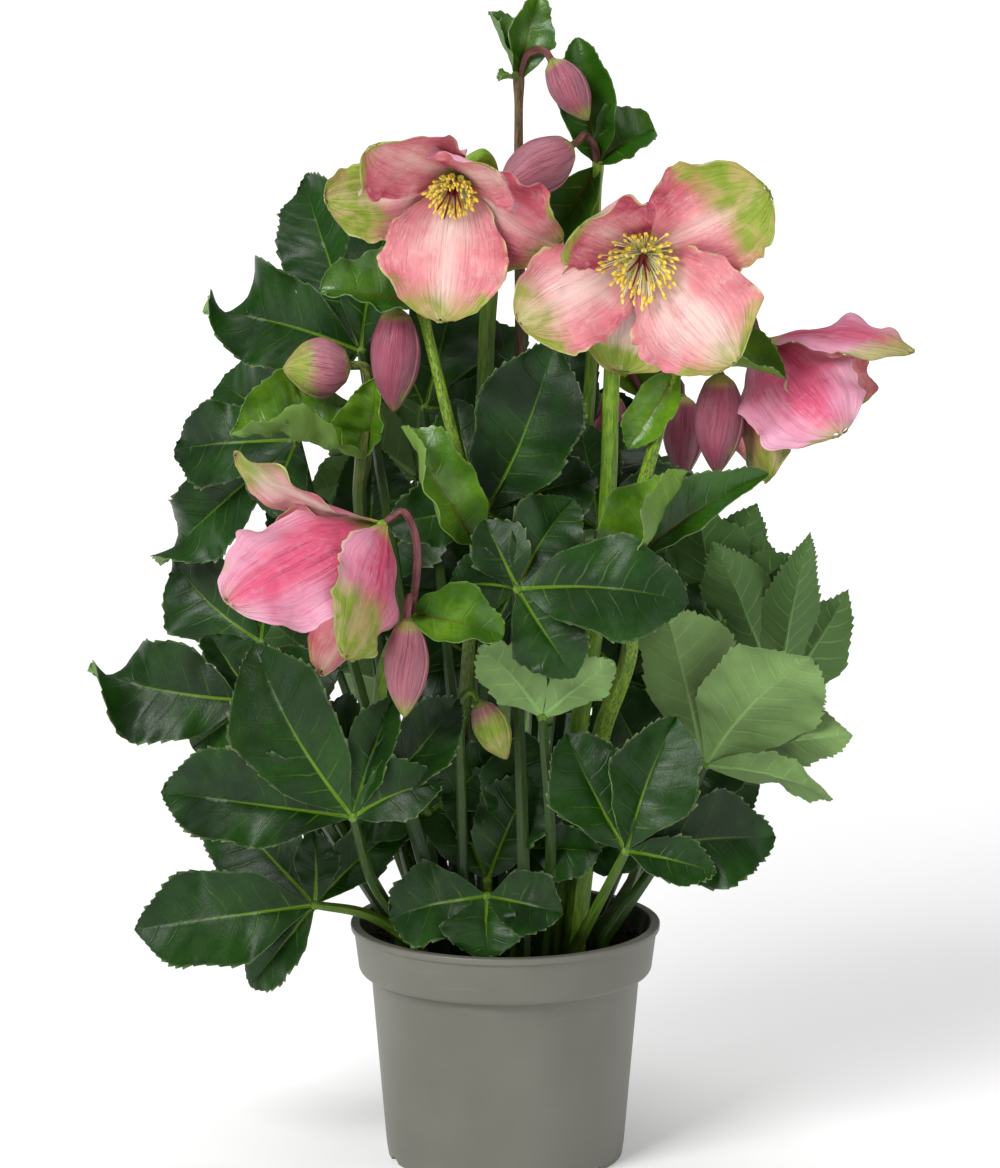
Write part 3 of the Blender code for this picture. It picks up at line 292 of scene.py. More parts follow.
# %% Directions and lines
def unit(vectors):
    """Vectors at length one: each is divided by its own length."""
    vectors = np.asarray(vectors, float)
    return vectors / np.maximum(np.linalg.norm(vectors, axis=-1, keepdims=True), 1e-12)


def facing(face):
    """The outward direction of a face from its degrees round and above, the most upward direction in its
    plane, and the direction to the right as seen from outside."""
    round_to, above = (math.radians(angle) for angle in face)
    east, north = math.sin(round_to), -math.cos(round_to)
    out = np.array([east * math.cos(above), north * math.cos(above), math.sin(above)])
    up = np.array([-east * math.sin(above), -north * math.sin(above), math.cos(above)])
    return out, up, np.cross(up, out)


def clock_way(face, turn):
    """The direction at a turn from the upward one of a face, as a clock's hand would point: up * cos(turn)
    + right * sin(turn)."""
    _, up, right = facing(face)
    return up * math.cos(turn) + right * math.sin(turn)


def smooth_route(points, count):
    """count points along a Catmull-Rom curve: between two points it is a cubic whose slope at each point is
    half the way from the point before to the point after."""
    points = np.asarray(points, float)
    ends = np.vstack([2 * points[0] - points[1], points, 2 * points[-1] - points[-2]])
    at = np.linspace(0, len(points) - 1, count)
    span = np.minimum(at.astype(int), len(points) - 2)
    t = (at - span)[:, None]
    a, b, c, d = (ends[span + k] for k in range(4))
    return 0.5 * (2 * b + (c - a) * t + (2 * a - 5 * b + 4 * c - d) * t**2 + (3 * b - a - 3 * c + d) * t**3)


def stem_line(root, route, count):
    """The middle line of a stem: upright in its hole in the soil, then smoothly along its route."""
    line = smooth_route([(*root, SOIL_TOP + 4), *route], count)
    return np.vstack([(*root, SOIL_TOP - HOLE_DEPTH + 1), line])


def nearest_on(line, place):
    """The point of a line that lies nearest to a place: the best point of each run, and the nearest of
    those."""
    starts, runs = line[:-1], np.diff(line, axis=0)
    share = ((np.asarray(place) - starts) * runs).sum(1) / (runs**2).sum(1)
    points = starts + runs * np.clip(share, 0, 1)[:, None]
    return points[np.argmin(((points - place) ** 2).sum(1))]


print("the first leaf faces", facing(LEAVES["leaf_low_left"]["face"])[0].round(2))

# %% [markdown]
# ## Patches, and pieces made of them
#
# A patch is one stretch of surface: its points, its faces, and the numbers that its colour is worked out
# from, such as how far across a leaf a point lies. A leaf needs a patch for its stalk and one for each
# leaflet. Joining Blender objects would do, but joining arrays is quicker and keeps those numbers with
# their points.

# %% Make a piece from patches
def patch(points, faces, surface=0, **maps):
    """A stretch of surface. faces is a list of arrays, each with one face in a row; surface says which of
    the piece's materials it wears; each map holds three numbers for every point."""
    points = np.asarray(points, float).reshape(-1, 3)
    filled = {name: np.broadcast_to(values, (len(points), 3)) for name, values in maps.items()}
    return dict(points=points, faces=faces, surface=surface, maps=filled)


def mesh_from(name, patches, materials, sharp_deg):
    """One mesh in metres: the points one after another, each patch's faces counted on from its first
    point."""
    starts = np.cumsum([0] + [len(part["points"]) for part in patches])
    points = np.concatenate([part["points"] for part in patches])
    blocks = [(block + start, part["surface"])
              for part, start in zip(patches, starts) for block in part["faces"]]
    corners = np.concatenate([block.ravel() for block, _ in blocks])
    sizes = np.concatenate([np.full(len(block), block.shape[1]) for block, _ in blocks])
    worn = np.concatenate([np.full(len(block), surface) for block, surface in blocks])
    mesh = bpy.data.meshes.new(name)
    mesh.vertices.add(len(points))
    mesh.vertices.foreach_set("co", (points * MM).astype(np.float32).ravel())
    mesh.loops.add(len(corners))
    mesh.loops.foreach_set("vertex_index", corners.astype(np.int32))
    mesh.polygons.add(len(sizes))
    mesh.polygons.foreach_set("loop_start", (np.cumsum(sizes) - sizes).astype(np.int32))
    mesh.update(calc_edges=True)
    mesh.polygons.foreach_set("material_index", worn.astype(np.int32))
    for map_name in sorted({key for part in patches for key in part["maps"]}):
        values = [part["maps"].get(map_name, np.zeros((len(part["points"]), 3))) for part in patches]
        made = mesh.attributes.new(map_name, "FLOAT_VECTOR", "POINT")
        made.data.foreach_set("vector", np.concatenate(values).astype(np.float32).ravel())
    for material in materials:
        mesh.materials.append(material)
    mesh.shade_smooth()
    mesh.set_sharp_from_angle(angle=math.radians(sharp_deg))
    return mesh


def add(name, data):
    """A new object in the scene."""
    obj = bpy.data.objects.new(name, data)
    bpy.context.scene.collection.objects.link(obj)
    return obj


def stand_in_for(node, mesh):
    """Puts the mesh in the scene with its finish, as the shown form of the frame's node of that name. A
    piece that the frame has no node for is an addition."""
    obj = add("fine_" + node, mesh)
    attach(obj, "root")
    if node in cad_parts:
        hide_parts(node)
    return obj


def piece(node, patches, materials, sharp_deg=50):
    """A piece of patches that stands for a node."""
    return stand_in_for(node, mesh_from("fine_" + node, patches, materials, sharp_deg))


def triangles(obj):
    """How many triangles a piece has: a face with n corners is cut into n - 2."""
    return len(obj.data.loops) - 2 * len(obj.data.polygons)


def grow(kind, maker, table, first=0):
    """Makes a piece from each line of a table, numbered from first, and prints how many and how large they
    are."""
    sizes = [triangles(maker(name, first + k, **line)) for k, (name, line) in enumerate(table.items())]
    print(kind + ":", len(sizes), "triangles:", sum(sizes), "largest:", max(sizes))


square = patch([(0, 0, 0), (1, 0, 0), (1, 1, 0), (0, 1, 0)], [np.arange(4)[None]])
print("a square patch has", len(square["points"]), "points and", len(square["faces"][0]), "face")

# %% [markdown]
# ## Two ways to make a surface: the sheet and the tube
#
# Leaves, bracts and petals are thin sheets with two sides. A grid of points gives the middle of the sheet,
# and the two skins lie half its thickness to either side, with a rim round the edge. A Solidify modifier
# would do the same, but here each point also has to know which side it is on, because a leaf is paler
# underneath. Stems, stamens and buds are tubes: a ring of points carried along a line.

# %% Sheets
def grid_faces(rows, columns, closed=False):
    """The four-sided faces of a grid of points, each run up the rows first. closed joins the last column to
    the first."""
    row, column = np.meshgrid(np.arange(rows - 1), np.arange(columns - (not closed)), indexing="ij")
    row, column = row.ravel(), column.ravel()
    low, following = row * columns + column, row * columns + (column + 1) % columns
    return np.stack([low, low + columns, following + columns, following], 1)


def normals_of(middle):
    """The normals of a grid of points: at right angles to the way up the rows and to the way across."""
    return unit(np.cross(np.gradient(middle, axis=0), np.gradient(middle, axis=1)))


def sheet(middle, thickness, surface=0, **maps):
    """A thin closed sheet from the grid of its middle: two skins, half the thickness away along the
    normals, and a rim. A map of two numbers gets a third, 0 on the upper skin and 1 on the lower."""
    rows, columns = middle.shape[:2]
    count = rows * columns
    half = normals_of(middle) * thickness / 2
    index = np.arange(count).reshape(rows, columns)
    around = np.concatenate([index[:-1, 0], index[-1, :-1], index[:0:-1, -1], index[0, :0:-1]])
    following = np.roll(around, -1)
    rim = np.stack([following, around, around + count, following + count], 1)
    upper = grid_faces(rows, columns)
    skins = {}
    for name, values in maps.items():
        flat = np.asarray(values, float).reshape(count, -1)
        both = np.vstack([flat, flat])
        side = np.repeat([0.0, 1.0], count)[:, None]
        skins[name] = both if flat.shape[1] == 3 else np.hstack([both, side])
    return patch([middle + half, middle - half], [upper, upper[:, ::-1] + count, rim], surface, **skins)


print("a grid of 3 by 4 points has", len(grid_faces(3, 4)), "faces")

# %% Tubes
def ring_faces(rings, sides):
    """The faces of rings that follow one another: those between the rings, and one across each end."""
    ends = [np.arange(sides)[None, ::-1], np.arange(sides)[None] + (rings - 1) * sides]
    return [grid_faces(rings, sides, True)[:, ::-1], *ends]


def tube(line, radii, sides, surface=0, ribs=0, rib_depth=0.0, flat=1.0, tone=(0, 0, 0)):
    """A round stem: at each point of the line a ring at right angles to it, of that point's radius, whose
    radius rises and falls ribs times round it. All rings are turned alike, by the direction that the line
    runs along least. flat squeezes the rings one way. The map stem_map holds where a point lies round the
    middle and along the line, in millimetres, and stem_tone holds three numbers for the material."""
    line = np.asarray(line, float)
    radii = np.interp(np.linspace(0, 1, len(line)), np.linspace(0, 1, len(radii)), radii)
    ahead = unit(np.gradient(line, axis=0))
    steady = np.linalg.svd(ahead)[2][-1]
    side = unit(np.cross(ahead, steady))
    other = np.cross(ahead, side)
    turn = math.tau * np.arange(sides) / sides
    reach = radii[:, None] * (1 + rib_depth * np.cos(ribs * turn))
    east, north = reach * np.cos(turn), reach * np.sin(turn) * flat
    points = line[:, None] + east[..., None] * side[:, None] + north[..., None] * other[:, None]
    length = np.concatenate([[0], np.cumsum(np.linalg.norm(np.diff(line, axis=0), axis=1))])
    along = np.broadcast_to(length[:, None], east.shape)
    tone = np.repeat(np.broadcast_to(tone, (len(line), 3)), sides, axis=0)
    return patch(points, ring_faces(len(line), sides), surface,
                 stem_map=np.stack([east, north, along], -1).reshape(-1, 3), stem_tone=tone)


def knob(centre, way, length, radius, sides=12, rings=9, surface=0, **more):
    """A rounded lump along a direction: a tube whose radius follows half a wave, so that it closes at both
    ends."""
    share = np.linspace(0.02, 0.98, rings)
    line = np.asarray(centre, float) + np.outer((share - 0.5) * length, unit(way))
    return tube(line, radius * np.sqrt(1 - (2 * share - 1) ** 2), sides, surface, **more)


sample = tube([(0, 0, 0), (0, 0, 10)], [1, 1], 6)
print("a six-sided tube has", len(sample["points"]), "points and", sum(map(len, sample["faces"])), "faces")

# %% [markdown]
# ## A kit for colours
#
# Paint on a plant is never even: it follows veins, edges and age. Every finish below is built from the same
# few steps, such as a soft band between two values, a mix of two colours and a noise. Writing those steps
# as short functions, and sums with their usual signs, keeps each material to a few lines that can be read
# like a recipe.

# %% Short steps for material nodes
class Step:
    """What one node of a recipe gives: a number, a vector or a colour. Each step on it is one more node."""

    def __init__(self, recipe, socket):
        self.recipe = recipe
        self.socket = socket

    def sum(self, operation, other=0.0):
        """A sum on numbers, named as in the Math node."""
        return self.recipe.node("ShaderNodeMath", {0: self, 1: other}, operation=operation)

    def __add__(self, other):
        return self.sum("ADD", other)

    def __sub__(self, other):
        return self.sum("SUBTRACT", other)

    def __rsub__(self, other):
        return self * -1.0 + other

    def __mul__(self, other):
        return self.sum("MULTIPLY", other)

    def __truediv__(self, other):
        return self.sum("DIVIDE", other)

    def __abs__(self):
        return self.sum("ABSOLUTE")

    def parts(self):
        """The three numbers of a vector."""
        parted = self.recipe.node("ShaderNodeSeparateXYZ", {0: self})
        return [Step(self.recipe, socket) for socket in parted.socket.node.outputs]

    def stretch(self, scale):
        """The vector with each number multiplied."""
        return self.recipe.node("ShaderNodeVectorMath", {0: self, 1: scale}, operation="MULTIPLY")

    def moved(self, by):
        """The vector with another one added."""
        return self.recipe.node("ShaderNodeVectorMath", {0: self, 1: by}, operation="ADD")

    def noise(self, scale, detail=2.0, distortion=0.0):
        """A cloudy value at the place that the vector gives, which runs about 0.5."""
        inputs = {"Vector": self, "Scale": scale, "Detail": detail, "Distortion": distortion}
        return self.recipe.node("ShaderNodeTexNoise", inputs, "Fac")

    def net(self, scale):
        """The distance from the place that the vector gives to the nearest line of a net of cells."""
        inputs = {"Vector": self, "Scale": scale}
        return self.recipe.node("ShaderNodeTexVoronoi", inputs, "Distance", feature="DISTANCE_TO_EDGE")

    def band(self, low, high, top=1.0):
        """A soft rise from 0 at low to top at high. With low above high it falls the other way."""
        inputs = {"Value": self, "From Min": low, "From Max": high, "To Max": top}
        return self.recipe.node("ShaderNodeMapRange", inputs, interpolation_type="SMOOTHSTEP")

    def mix(self, first, second):
        """The colour that lies this share of the way from the first to the second."""
        return self.recipe.node("ShaderNodeMix", {0: self, 6: first, 7: second}, 2, data_type="RGBA")


class Recipe:
    """Builds one material. Its steps take numbers, colours or what other steps give."""

    def __init__(self, name, **finish):
        """finish holds values for the shader's own sockets, with _ for each space."""
        self.material = bpy.data.materials.new(name)
        self.material.use_nodes = True
        self.tree = self.material.node_tree
        self.shader = self.tree.nodes["Principled BSDF"]
        for socket, value in finish.items():
            self.shader.inputs[socket.replace("_", " ")].default_value = value

    def node(self, kind, inputs, output=0, **settings):
        """One node with its settings and inputs, as the step that one of its outputs gives."""
        made = self.tree.nodes.new(kind)
        for name, value in settings.items():
            setattr(made, name, value)
        for socket, value in inputs.items():
            if isinstance(value, Step):
                self.tree.links.new(value.socket, made.inputs[socket])
            elif made.inputs[socket].type == "RGBA":
                made.inputs[socket].default_value = (*value, 1)
            else:
                made.inputs[socket].default_value = value
        return Step(self, made.outputs[output])

    def place(self):
        """Where a point lies on the plant, in metres."""
        return self.node("ShaderNodeTexCoord", {}, "Object")

    def map(self, name):
        """The vector that a mesh map holds."""
        return self.node("ShaderNodeAttribute", {}, "Vector", attribute_name=name)

    def wire(self, step, socket):
        """Leads a step to a socket of the shader."""
        self.tree.links.new(step.socket, self.shader.inputs[socket])

    def finish(self, colour, roughness=None, height=None, relief=0.0):
        """Wires the colour, and where given the roughness and a bump of that relief in metres."""
        self.wire(colour, "Base Color")
        if roughness is not None:
            self.wire(roughness, "Roughness")
        if height is not None:
            self.wire(self.node("ShaderNodeBump", {"Height": height, "Distance": relief}), "Normal")
        return self.material


def tint(colour, times):
    """A colour made lighter or darker: each part multiplied, and 1 at most."""
    return tuple(min(1.0, times * part) for part in colour)


print("twice the colour (0.5, 0.25, 0.75) is", tint((0.5, 0.25, 0.75), 2))

# %% [markdown]
# ## The blade: one formula for leaflets, bracts and petals
#
# A leaflet leaves its hub along a rib that bends over towards the tip. Its width grows and falls again,
# each half is raised a little like an open book, the whole is cupped and its margins wave. Modelling that
# by hand a hundred times would give a hundred like leaves. As a formula, each blade gets its own length,
# roll, droop and wave.

# %% The blade formula
RIB_STEPS = 60
NET_CELLS = 64


def half_width(spec, share):
    """Half the width of a blade: share**rising * (1 - share)**falling, at its full value where that product
    is greatest, and never less than the foot's half width on the way to the tip."""
    rising, falling = spec["shape"]
    widest = rising / (rising + falling)
    full = widest**rising * (1 - widest) ** falling
    share = np.clip(share, 0, 1)
    grown = spec["width"] / 2 * share**rising * (1 - share) ** falling / full
    return np.maximum(grown, spec["foot_half"] * (1 - share) ** 0.5)


def eased(share):
    """A soft step from 0 to 1."""
    share = np.clip(share, 0, 1)
    return share**2 * (3 - 2 * share)


def soft_heights(x, y, size, seed):
    """Smooth random heights from -1 to 1: a chance value at each corner of a square net of that size,
    blended between the four corners round a point."""
    table = np.random.default_rng(seed).uniform(-1, 1, (NET_CELLS, NET_CELLS))
    row, column = np.floor(x / size).astype(int), np.floor(y / size).astype(int)
    u, v = eased(x / size - row), eased(y / size - column)
    row, column, next_row, next_column = (k % NET_CELLS for k in (row, column, row + 1, column + 1))
    low = table[row, column] * (1 - u) + table[next_row, column] * u
    high = table[row, next_column] * (1 - u) + table[next_row, next_column] * u
    return low * (1 - v) + high * v


def blade(spec, share, across):
    """Points of a blade's middle surface. share runs from its foot to its tip and across from one edge (-1)
    to the other (1). The rib leaves the foot along spec's way, raised by lift towards its normal, and bends
    back by droop on the way to the tip. It bows to one side by bow times its length, and one half is wider
    than the other by uneven. Each half is raised by the fold angle, the whole is cupped, two waves run
    along the margins, and the tip may be twisted."""
    steps = np.linspace(0, 1, RIB_STEPS + 1)
    angles = np.radians(spec["lift"] - spec["droop"] * steps**1.5)
    along = np.concatenate([[0], np.cumsum((np.cos(angles[1:]) + np.cos(angles[:-1])) / 2)]) / RIB_STEPS
    rise = np.concatenate([[0], np.cumsum((np.sin(angles[1:]) + np.sin(angles[:-1])) / 2)]) / RIB_STEPS
    way, normal, length = spec["way"], spec["normal"], spec["length"]
    side = np.cross(normal, way)
    bowed = spec["bow"] * length * np.sin(np.pi * np.clip(share, 0, 1))
    ahead, higher = (np.interp(share, steps, values) * length for values in (along, rise))
    rib = (spec["foot"] + np.multiply.outer(ahead, way) + np.multiply.outer(higher, normal)
           + np.multiply.outer(bowed, side))
    angle = np.interp(share, steps, angles)
    lifted = np.multiply.outer(np.cos(angle), normal) - np.multiply.outer(np.sin(angle), way)
    roll = np.radians(spec["roll"]) * eased(share / 0.3)
    roll = roll + np.radians(spec.get("twist", 0)) * eased(share / 0.4 - 1.5)
    right = np.multiply.outer(np.cos(roll), side) + np.sin(roll)[..., None] * lifted
    above = np.cos(roll)[..., None] * lifted - np.multiply.outer(np.sin(roll), side)
    half = half_width(spec, share) * (1 + spec["uneven"] * np.sign(across))
    fold, cup = math.radians(spec["fold"]), math.radians(spec["cup"]) + 1e-6
    out = half * (np.sin(cup * across) / cup) * math.cos(fold)
    up = half * ((1 - np.cos(cup * across)) / cup + np.abs(across) * math.sin(fold))
    run = math.tau * spec["waves"] * share + spec["phase"]
    wave = np.sin(run + 2.1 * (across > 0)) + 0.45 * np.sin(2.6 * run + 1.2 * (across > 0))
    up = up + half * spec["wave"] * np.abs(across) ** 1.5 * wave * np.clip(3 * share, 0, 1)
    return rib + out[..., None] * right + up[..., None] * above


LEAF_SHAPE = (1.2, 0.95)


def leaflet_spec(foot, way, normal, length, width, lift, droop, roll, seed):
    """The measures of a green leaflet, with seeded differences, because no two on a plant are alike."""
    draw = np.random.default_rng(seed)
    return dict(
        foot=np.asarray(foot, float), way=way, normal=normal, length=length, width=1.14 * width,
        roll=roll + draw.uniform(-9, 9), lift=lift + draw.uniform(-4, 4), droop=droop + draw.uniform(-6, 16),
        fold=draw.uniform(10, 26), cup=draw.uniform(-20, 26), wave=draw.uniform(0.07, 0.17),
        waves=draw.uniform(1.2, 2.2), phase=draw.uniform(0, math.tau), bow=draw.uniform(-0.045, 0.045),
        uneven=draw.uniform(-0.08, 0.08), shape=LEAF_SHAPE, foot_half=1.3, twist=0,
    )


trial = leaflet_spec((0, 0, 0), np.array([0, 1.0, 0]), np.array([0, 0, 1.0]), 80, 40, 6, 22, 0, (0, 0))
print("the tip of a blade of 80 mm lies at", blade(trial, np.array([1.0]), np.array([0.0])).round(1)[0])

# %% [markdown]
# ## Leaflets with veins and teeth
#
# Side veins leave the midrib slanting forward and end in a tooth at the margin, and the blade swells a
# little between them. If the rows of the grid slant forward along those veins, three things come for free:
# a tooth is one row pushed out, a swelling is a few rows raised, and the vein's colour is a line along a
# row. A flat picture of veins laid on a plain leaf would miss all three.

# %% Leaflet surface
VEIN_SPACING = 9.0
TEETH_TO_A_VEIN = 2
TOOTH_ROWS = np.array([0, 0.42, 0.76])
TOOTH_FORM = np.array([-0.35, 0.25, 0.8])
TOOTH_DEPTH = 1.2
TOOTH_DEPTHS = (0.3, 1.7)
LAST_TOOTH = 0.97
TIP_ROWS = [0.985, 0.998]
SWELLING = 0.07
RIPPLE = 0.03
LEAF_THICKNESS = 0.45
QUILTING = 0.3
RIB_GROOVE = 0.6
BILLOWS = 1.1
BILLOW_SIZE = 15.0
CRINKLE = 0.35
CRINKLE_SIZE = 5.0
ACROSS = np.array([-1, -0.93, -0.8, -0.62, -0.43, -0.24, -0.08, 0, 0.08, 0.24, 0.43, 0.62, 0.8, 0.93, 1])


def leaflet(spec, tone, seed, tooth_depth=TOOTH_DEPTH, quilting=QUILTING, crinkle=CRINKLE):
    """A leaflet. A row starts at t on the midrib and lies at t + |across|**1.2 * sin(pi * t) / (2 * pi)
    further out, so that it slants forward. Three rows make a tooth: a notch, its flank and its tip, which
    stands out past the edge and more so towards the leaflet's tip. The outline swells and shrinks a little,
    otherwise on each side. Between veins the surface is raised by a half wave, along the midrib it is sunk,
    and large billows and small crinkles go over all of it."""
    draw = np.random.default_rng(seed)
    length = spec["length"]
    veins = max(4, round(length / VEIN_SPACING))
    teeth = veins * TEETH_TO_A_VEIN
    t = (np.arange(teeth)[:, None] + TOOTH_ROWS).ravel() / teeth
    fading = np.clip(4 * t - 0.3, 0, 1) * (0.5 + 0.8 * t) * np.clip(14 * (1 - t), 0, 1)
    depths = np.repeat(draw.uniform(*TOOTH_DEPTHS, (teeth, 2)), len(TOOTH_ROWS), 0)
    tooth = (np.tile(TOOTH_FORM, teeth) * fading)[:, None] * depths
    kept = t < LAST_TOOTH
    t = np.append(t[kept], TIP_ROWS)
    tooth = np.vstack([tooth[kept], np.zeros((2, 2))])
    t, across = np.meshgrid(t, ACROSS, indexing="ij")
    out = np.abs(across)
    share = t + out**1.2 * np.sin(np.pi * t) / (2 * np.pi)
    own_tooth = np.where(across > 0, tooth[:, :1], tooth[:, 1:])
    edge = np.where(out > 0.99, 1.0, np.where(out > 0.9, 0.15, 0)) * own_tooth
    half = half_width(spec, share)
    phases = draw.uniform(0, math.tau, 4)
    swell = SWELLING * np.sin(math.tau * 2.3 * share + np.where(across > 0, phases[0], phases[1])) * out**2
    reach = across * (1 + swell + edge * tooth_depth / np.maximum(half, 2))
    middle = blade(spec, share + 0.45 * edge * tooth_depth / length, reach)
    count = veins * t + 0.5 * (across < 0)
    window = np.sin(np.pi * out) ** 0.5 * np.clip(5 * t, 0, 1) * np.clip(4 * (1 - t), 0, 1)
    east, north = across * half, share * length
    height = quilting * (np.abs(np.sin(np.pi * count)) ** 0.8 - 0.5) * window
    height = height * (1 + 0.7 * soft_heights(east, north, BILLOW_SIZE, (*seed, 1)))
    height = height - RIB_GROOVE * np.exp(-((across / 0.06) ** 2)) * (1 - t)
    height = height + RIPPLE * half * out**2 * np.sin(math.tau * 4.3 * share + phases[2] + 1.7 * (across > 0))
    bumps = BILLOWS * soft_heights(east, north, BILLOW_SIZE, (*seed, 2)) * np.clip(3 * out, 0, 1)
    bumps = bumps + crinkle * soft_heights(east, north, CRINKLE_SIZE, (*seed, 3))
    height = height + bumps * np.clip(4 * share, 0, 1)
    middle = middle + normals_of(middle) * height[..., None]
    vein_map = np.stack([np.where(out > 0.99, across * (1 + 0.2 * np.maximum(edge, 0)), across), count], -1)
    tone_map = np.stack([out * half, share, np.full(t.shape, tone)], -1)
    return sheet(middle, LEAF_THICKNESS, vein_map=vein_map, tone_map=tone_map)


print("a leaflet of 80 mm has", sum(map(len, leaflet(trial, 0.5, (0, 0))["faces"])), "faces")

# %% [markdown]
# ## Leaf green
#
# The upper side is a very dark, glossy green with yellow-green midribs, finer and darker side veins, a
# hair-fine net between them, and a pale cartilage edge that shows best at the tips of the teeth. The
# underside is a dull sage green with raised veins. The colours follow the maps of the mesh, because a
# pattern that only follows space would run across the veins.

# %% Leaf materials
EDGE_COLOUR = (0.26, 0.34, 0.15)


def leaf_material(name, dark, light, vein_colour, rib_colour, under, shaded_under, roughness, **finish):
    """Green tissue with veins, for leaves and, in brighter colours, for bracts."""
    recipe = Recipe(name, **finish)
    place = recipe.place()
    across, count, side = recipe.map("vein_map").parts()
    from_rib, share, tone = recipe.map("tone_map").parts()
    out = abs(across)
    wander = place.noise(75, 3)
    patchy = place.noise(38, 3).band(0.36, 0.66)
    fine = place.noise(420, 3)
    net = place.net(520).band(0.09, 0.0)
    vein = (wander * 0.55 + count).sum("PINGPONG", 0.5).band(0.075, 0.015) * out.band(1.0, 0.3)
    rib = (from_rib / (1.12 - share)).band(1.2, 0.4) * share.band(1.05, 0.05)
    near_foot = share.band(0.8, 0.0)
    green = patchy.mix(dark, light)
    green = (tone * 0.5).mix(green, tint(light, 1.5))
    green = tone.band(0.0, -1.0, 0.85).mix(green, dark)
    green = fine.band(0.3, 0.75, 0.35).mix(green, dark)
    green = (vein * (near_foot * 0.26 + 0.02) * wander.band(0.3, 0.6)).mix(green, vein_colour)
    green = (rib * 0.78).mix(green, rib_colour)
    sage = patchy.mix(tint(under, 0.72), under)
    # A low tone mixes painted shade into the underside, towards shaded_under.
    sage = tone.band(0.45, 0.0).mix(sage, shaded_under)
    sage = (vein * 0.35).mix(sage, tint(under, 1.5))
    sage = (net * 0.22).mix(sage, tint(under, 0.6))
    sage = (rib * 0.6).mix(sage, tint(under, 1.7))
    lower = side.band(0.35, 0.65)
    colour = lower.mix(green, sage)
    edge = out.band(0.965, 0.995) * fine.band(0.35, 0.6) * 0.2
    colour = edge.mix(colour, EDGE_COLOUR)
    colour = out.band(1.05, 1.14, 0.35).mix(colour, EDGE_COLOUR)
    rough = place.noise(60, 2) * 0.24 + lower * 0.22 + (roughness - 0.12)
    relief = vein * -0.6 + net * -0.12 + fine * 0.4
    return recipe.finish(colour, rough, relief, 0.00022)


leaf_green = leaf_material(
    "leaf_green_veined", dark=(0.0026, 0.0165, 0.0010), light=(0.0105, 0.050, 0.0025),
    vein_colour=(0.16, 0.29, 0.015), rib_colour=(0.16, 0.29, 0.015), under=(0.20, 0.33, 0.105),
    shaded_under=(0.065, 0.150, 0.034), roughness=0.40, Specular_IOR_Level=0.27,
)
bract_green = leaf_material(
    "bract_green_veined", dark=(0.018, 0.078, 0.0030), light=(0.125, 0.265, 0.008),
    vein_colour=(0.26, 0.40, 0.030), rib_colour=(0.14, 0.085, 0.025), under=(0.15, 0.28, 0.030),
    shaded_under=(0.06, 0.15, 0.012), roughness=0.34, Specular_IOR_Level=0.45,
)
print("leaf materials:", leaf_green.name, bract_green.name)

# %% [markdown]
# ## Stem green
#
# Hellebore stems are fleshy, lime green and slightly ribbed. Some are covered with purple-brown speckles
# drawn out along the stem, and the thin stalks of flowers are maroon all over. The speckles are a noise
# that is read round and along the stem, so that they run with it however it bends. How speckled and how
# maroon a stem is comes from the stem's own map, and so does a painted shade that darkens its lime green
# where it stands in the shade of the plant.

# %% Stem material
def stem_material():
    """Lime green tissue with drawn-out speckles. stem_tone holds maroon, speckling and darkness, each 0 to
    1. The darkness is painted shade that turns the lime towards near black."""
    recipe = Recipe("stem_green_speckled", Specular_IOR_Level=0.35)
    around = recipe.map("stem_map")
    maroon, speckled, dark = recipe.map("stem_tone").parts()
    streaks = around.stretch((0.9, 0.9, 0.16)).noise(0.9, 4)
    spots = around.stretch((1.0, 1.0, 0.38)).noise(1.5, 3)
    lime = streaks.band(0.35, 0.65).mix((0.105, 0.240, 0.008), (0.225, 0.385, 0.018))
    # Painted shade: the third number of stem_tone darkens the lime towards near black.
    lime = dark.mix(lime, (0.010, 0.036, 0.004))
    spot = (spots + speckled * 0.20 - 0.68).band(0.0, 0.07) * 0.75
    colour = spot.mix(lime, (0.085, 0.026, 0.026))
    red = streaks.band(0.35, 0.68).mix((0.075, 0.016, 0.022), (0.19, 0.055, 0.055))
    cover = (maroon + spots * 0.6 - 0.3).band(0.3, 0.8)
    return recipe.finish(cover.mix(colour, red), streaks * 0.25 + 0.30, streaks, 0.0004)


stem_green = stem_material()
print("stem material:", stem_green.name)

# %% [markdown]
# ## The leaves
#
# Each leaf is one grown piece: a stalk, a small swollen hub and the leaflets that spread from it like
# fingers. Three leaflets have a tip that twists over and shows its pale underside. Going round the hub,
# every second leaflet stands a little higher, as on the real plant, where the outer ones overlap the inner.

# %% Grow the leaves
RINGS_TO_A_POINT = 14
HUB_LENGTH = 3.6
LOW_HUB = 180


def stalk(line, radii, tone, sides=10):
    """A leaf stalk or stem: a tube with five soft ribs."""
    return tube(line, radii, sides, surface=1, ribs=5, rib_depth=0.07, tone=tone)


